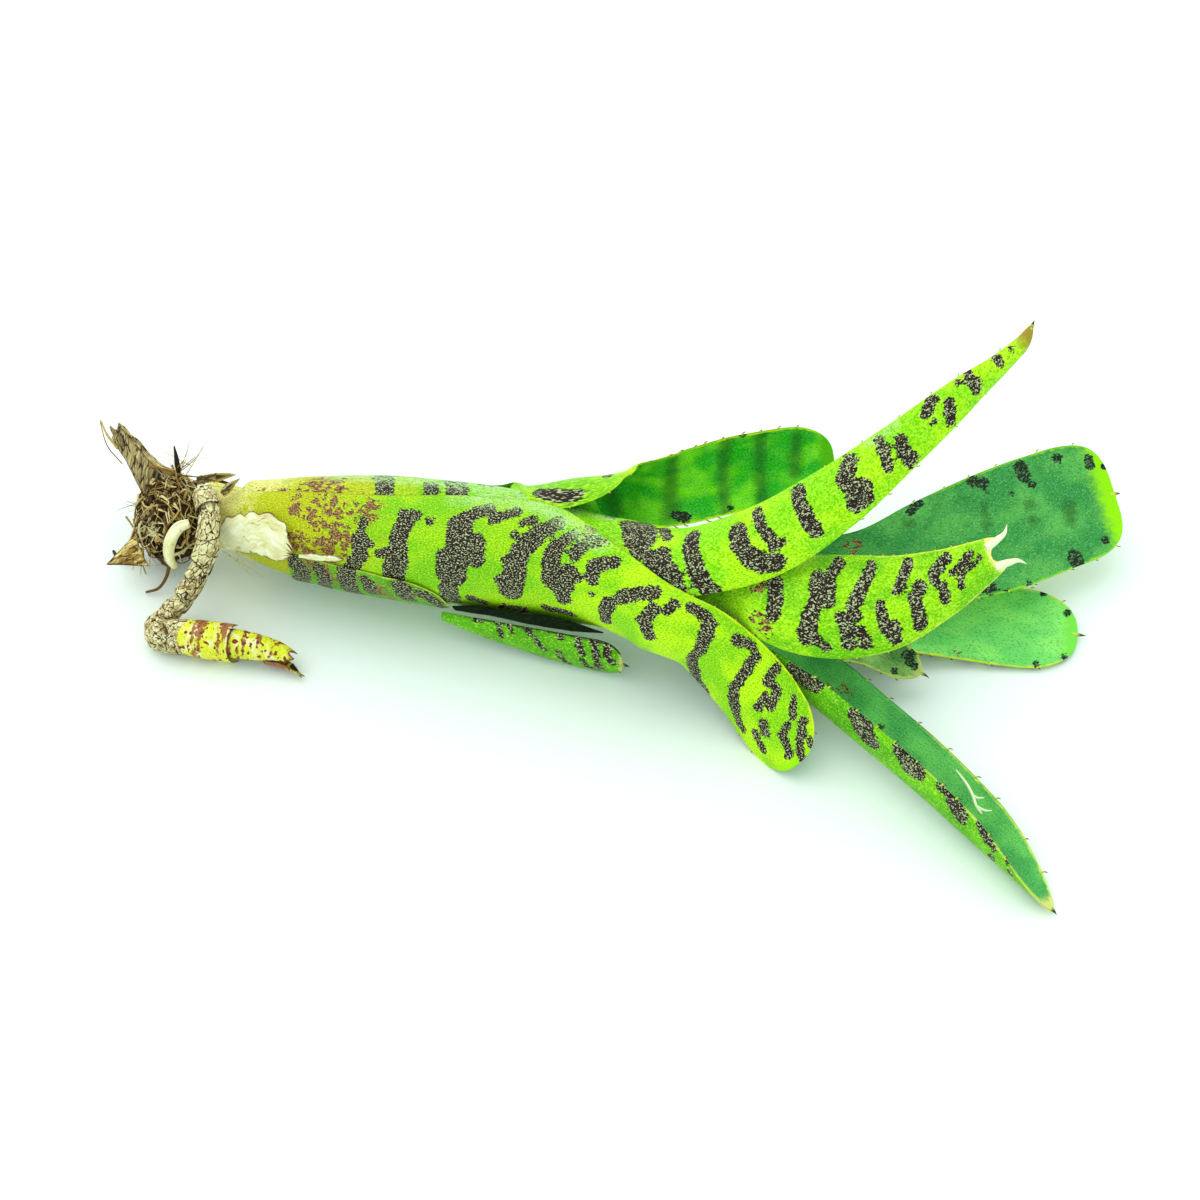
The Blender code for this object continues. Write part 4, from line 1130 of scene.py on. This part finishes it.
STUB = (
    (-90.6, 30.6, 13.4, 3.9), (-92.9, 33.2, 15.2, 3.2), (-95.2, 35.8, 16.8, 2.6), (-98, 38.9, 18.8, 2),
    (-100.3, 41.4, 20, 1.6),
)
STUB_SLIVERS = 7
STUB_PRONGS = (
    ((-98.6, 40.2, 19.2, 1.2), (-99.6, 41.9, 20.2, 0.9), (-100.2, 43.2, 20.9, 0.15)),
    ((-99.0, 39.2, 19.0, 1.1), (-100.6, 40.8, 20.0, 0.8), (-102.0, 42.0, 20.9, 0.1)),
    ((-99.4, 40.2, 18.6, 0.9), (-101.0, 41.8, 19.4, 0.5), (-102.2, 43.4, 19.8, 0.1)),
)
piece = Piece()
swept(piece, STUB, 64, 80, relief=ridged(7, 0.13, 11))
for k, prong in enumerate(STUB_PRONGS):
    swept(piece, prong, 16, 24, relief=ridged(3, 0.2, 14 + k))
rng = np.random.default_rng(12)
for k in range(STUB_SLIVERS):
    turn = k * 0.9 + 0.3
    side = np.array([0.72, 0.55 * math.cos(turn), 0.7 * math.sin(turn)])
    low = np.array(STUB[0][:3]) + unit(side) * 2.3
    high = np.array(STUB[4][:3]) + unit(side) * 1.5 + np.array((-1.0, 1.2, 0.6)) * rng.uniform(-1.5, 0.9)
    rise = high - low
    rows = [(*(low + rise * t + rng.normal(size=3) * 0.15), 0.42 - 0.3 * t) for t in (0, 0.35, 0.7, 1.0)]
    swept(piece, rows, 6, 16, key=0.2 * k, relief=ridged(3, 0.2, k))
piece.make("old_stub_look", [bark], ["old_stolon_stub"])

STUB_THREADS = (
    (((-100.2, 38.2, 18.4, 0.3), (-102.6, 41.2, 19.4, 0.25), (-104.2, 44.4, 20.4, 0.2)), 8, 0.75),
    (((-99.2, 35.6, 16.6, 0.12), (-102.4, 39.0, 18.2, 0.12), (-104.2, 43.8, 20.4, 0.08)), 6, 0.55),
)
thread = Piece()
for rows, sides, key in STUB_THREADS:
    swept(thread, rows, sides, 20, key=key)
thread.make("stub_thread_look", [root_colours], ["stub_thread"])

runner_skin = coarse_material(
    "runner scales", (230, 216, 158), (182, 156, 98), (250, 244, 206), (62, 42, 24), stretch=0.7, depth=0.35,
    cracks=0.07, edge=(84, 60, 34)
)
STOLON_SCALES = ((0.01, 40), (0.22, 70), (0.36, 30), (0.49, 80), (0.63, 40), (0.77, 75))
SCALE_REACH = 0.17
SCALE_WRAP = 310
piece = Piece()
swept(piece, [(*row[:3], row[3] * 0.86) for row in STOLON], 40, 110, relief=ridged(5, 0.06, 21))
piece.make("stolon_look", [runner_skin], ["stolon"])
for k, (place, angle) in enumerate(STOLON_SCALES, 1):
    rows = sheath(STOLON, 0.15, (place, angle, SCALE_WRAP))
    rows += sheath(STOLON, -0.1, (place + SCALE_REACH / 2, angle, SCALE_WRAP * 0.9))
    rows += sheath(STOLON, -0.4, (place + SCALE_REACH, angle, SCALE_WRAP * 0.7))
    piece = Piece()
    add_blade(piece, rows, (2, 1.5), 36, 40, 0.3, waves=0.3, seed=30 + k, end=0.5)
    piece.make(f"stolon_scale_{k}_look", [runner_skin], [f"stolon_scale_{k}"])


def pup_material():
    m = Shader("pup skin")
    s, w, key = m.attribute("flat")
    skin = m.vector(m.times(s, 0.8), m.times(w, 0.6), key)
    fine = m.noise(skin, 1.6, 3.0, 0.6)
    blots = m.noise(skin, 0.42, 2.0, 0.6)
    bands = m.noise(m.vector(s, m.times(w, 0.2), key), 0.36, 2.0)
    edge, left, _ = m.attribute("rim")
    colour = m.mix(m.step(fine, 0.4, 0.62), (212, 216, 0), (238, 236, 70))
    colour = m.mix(m.step(blots, 0.52, 0.64), colour, (240, 232, 160))
    colour = m.mix(m.step(m.add(bands, m.fit(fine, 0.5)), 0.76, 0.82, (0.0, 0.9)), colour, (150, 66, 42))
    spots = m.noise(skin, 1.1, 1.0)
    colour = m.mix(m.step(spots, 0.6, 0.64), colour, (126, 46, 26))
    colour = m.mix(m.step(fine, 0.62, 0.66), colour, (96, 40, 20))
    torn_edge = m.step(m.add(m.math("MINIMUM", edge, left), m.fit(fine, 1.6, -0.8)), 0.35, 0.0)
    colour = m.mix(torn_edge, colour, (104, 60, 30))
    return m.finish(colour, 0.5, fine, 0.15)


pup_skin = pup_material()
PUP_SHEATHS = {
    "pup_outer_sheath": (
        0.0, ((0.1, 60, 300), (0.24, 58, 295), (0.38, 55, 285), (0.52, 50, 250)), (3, 2), 0.8, 1.4,
    ),
    "pup_inner_sheath": (
        0.9, ((0.4, 15, 230), (0.54, 10, 228), (0.66, 5, 220), (0.78, 0, 180), (0.9, -10, 130)), (4, 2),
        0.4, 1.5,
    ),
    "pup_lower_leaf": (0.5, ((0.72, 150, 110), (0.86, 140, 125), (1.0, 120, 120)), (6, 1.3), 0.1, 0.0),
}
# The lowest leaf's dry point.
PUP_TAIL = ((-62.4, -6.2, 2, 0.5), (-61.2, -7.4, 1.3, 0.35), (-60.2, -8.6, 0.9, 0.06))
for k, (name, (depth, places, tip, end, notch)) in enumerate(PUP_SHEATHS.items()):
    piece = Piece()
    add_blade(
        piece, sheath(PUP, depth, *places), tip, 60, 56, 0.35, waves=0.15, seed=40 + k, end=end,
        notch=notch,
    )
    shift = box_shift(name, piece)
    if name == "pup_lower_leaf":
        swept(piece, PUP_TAIL, 8, 12, 1)
    piece.make(name + "_look", [pup_skin, earth], [name], shift)
piece = Piece()
PUP_KNEE = (
    (-86, 5.6, 6.2, 2.3), (-88.6, 3.8, 4.2, 2.3), (-90.3, 1.6, 3.8, 2.6), (-88.6, -0.1, 3.9, 3.1),
    (-84.4, -0.7, 4.1, 3.5), (-78.4, -1.9, 4.4, 3.9),
)
KNEE_SCALES = ((0.02, 60), (0.16, 110), (0.3, 40), (0.42, 90), (0.5, 20))
PUP_CORE = (
    (-88.9, 3.4, 4.2, 2.1), (-90.2, 1.5, 3.7, 2.3), (-88.9, 0.2, 3.8, 2.8), (-85.5, -0.6, 4.1, 2.6),
    (-78.4, -1.9, 4.4, 2.2), (-73, -2.8, 4.1, 1.2),
)
swept(piece, PUP_CORE, 40, 60, relief=ridged(4, 0.06, 44))
for k, (place, angle) in enumerate(KNEE_SCALES):
    rows = sheath(
        PUP_KNEE, -0.15, (place, angle, 250), (place + 0.14, angle, 230), (place + 0.26, angle, 150),
    )
    add_blade(piece, rows, (2, 1.5), 30, 36, 0.25, waves=0.3, seed=80 + k, end=0.5, torn=0.1)
piece.make("pup_core_look", [runner_skin], ["pup_core"])

STEM_STRAWS = (
    ((-78.1, 19.9, 7), (-69.7, 16.9, 2), 0.13), ((-79.4, 20.4, 8.6), (-71.6, 16.4, 4), 0.11),
    ((-76.4, 19, 6.2), (-70.4, 18, 4.6), 0.16), ((-78.6, 20.6, 18.6), (-73, 19.6, 23), 0.2),
    ((-79, 21.4, 18), (-74, 20.8, 23.6), 0.13), ((-80.2, 23, 19.4), (-73.8, 23.2, 23), 0.16),
    ((-79.4, 16.6, 16.4), (-74.8, 14.4, 13.4), 0.16),
)
stem_skin = coarse_material(
    "stem base", (232, 226, 140), (206, 200, 60), (246, 242, 190), (150, 120, 50), scale=0.6, stretch=0.6,
    depth=0.3,
)
STEM = ((-80.9, 28.3, 10.4, 5.8), (-72, 25.3, 12.3, 4.8), (-62, 21, 14, 3.2), (-54, 19, 15.4, 1.6))
piece = Piece()
swept(piece, STEM, 60, 60, relief=ridged(9, 0.02, 51))
rng = np.random.default_rng(52)
for start, end, radius in STEM_STRAWS:
    heading = np.array(end) - np.array(start)
    rows = strand_rows(start, heading, np.linalg.norm(heading), radius, 0.12, rng)
    swept(piece, rows, 5, 12, 1, key=rng.uniform(0.78, 1.0))
piece.make("stem_look", [stem_skin, root_colours], ["stem"])

ivory = coarse_material(
    "young root", (250, 246, 206), (232, 220, 150), (255, 254, 226), (196, 164, 90), scale=0.8, stretch=0.5,
    roughness=0.6, depth=0.2,
)
CURVED_ROOT = (
    (-83.4, 17.6, 18.2, 0.9), (-85.4, 17, 17.8, 1.1), (-87.3, 14.9, 15.6, 1.2), (-87.6, 13.2, 12.4, 1),
    (-86.8, 12.8, 10.2, 0.7),
)
piece = Piece()
swept(piece, CURVED_ROOT, 24, 50, relief=ridged(3, 0.06, 61))
piece.make("curved_root_look", [ivory], ["curved_root"])

THIN_ROOTS = {
    "curved_root_tail": (
        ((-88.6, 15.6, 7.4, 0.4), (-89.6, 14.8, 4.4, 0.35), (-91.4, 14.0, 2.0, 0.3), (-94, 14.0, 0.8, 0.25)),
        0.5,
    ),
    "thorn_root": (((-86.8, 31.0, 19.0, 0.6), (-87.0, 32.0, 22.6, 0.45), (-87.2, 32.8, 25.0, 0.12)), 0.1),
    "wiry_root_back": (
        ((-85, 35.2, 11.0, 0.6), (-82.5, 38.6, 8.4, 0.5), (-79, 41.0, 4.4, 0.4), (-76, 41.6, 1.0, 0.3)),
        0.3,
    ),
    "wiry_root_low": (
        ((-95.4, 22.8, 4.0, 0.6), (-98, 22.4, 2.4, 0.5), (-100.6, 23.2, 1.2, 0.4), (-102, 25.4, 0.7, 0.3)),
        0.35,
    ),
}
for k, (name, (rows, key)) in enumerate(THIN_ROOTS.items()):
    piece = Piece()
    swept(piece, rows, 8, 24, key=key, relief=ridged(3, 0.12, 70 + k))
    piece.make(name + "_look", [root_colours], [name])


# ---------------------------------------------------------------- floor, light and camera
FLOOR_REACH = 3.0
mesh = bpy.data.meshes.new("floor")
corners = [(x * FLOOR_REACH, y * FLOOR_REACH, 0) for x, y in ((-1, -1), (1, -1), (1, 1), (-1, 1))]
mesh.from_pydata(corners, [], [(0, 1, 2, 3)])
mesh.materials.append(Shader("paper floor").finish((246, 250, 248), 0.9))
floor = placed("floor", mesh)

world = bpy.data.worlds.new("soft room")
world.use_nodes = True
background = world.node_tree.nodes["Background"]
background.inputs["Color"].default_value = (0.82, 1.0, 0.94, 1)
background.inputs["Strength"].default_value = 1.08
bpy.context.scene.world = world

sun = bpy.data.lights.new("window", "SUN")
sun.energy = 1.2
sun.angle = math.radians(80)
sun.color = (1.0, 0.88, 0.86)
sun_object = placed("window", sun)
sun_object.rotation_euler = Vector((-0.35, 0.45, 0.95)).to_track_quat("Z", "Y").to_euler()

CAMERA_HEIGHT_ANGLE = math.radians(50)
CAMERA_DISTANCE = 0.5667
target = Vector((np.array([0, 0, 15.0]) - ORIGIN) * MM)
camera = bpy.data.cameras.new("camera")
camera.lens = 85
camera.sensor_width = 36
camera_object = placed("camera", camera)
away = Vector((0, -math.cos(CAMERA_HEIGHT_ANGLE), math.sin(CAMERA_HEIGHT_ANGLE)))
camera_object.location = target + CAMERA_DISTANCE * away
camera_object.rotation_euler = away.to_track_quat("Z", "Y").to_euler()
bpy.context.scene.camera = camera_object
bpy.context.scene.view_settings.view_transform = "Standard"
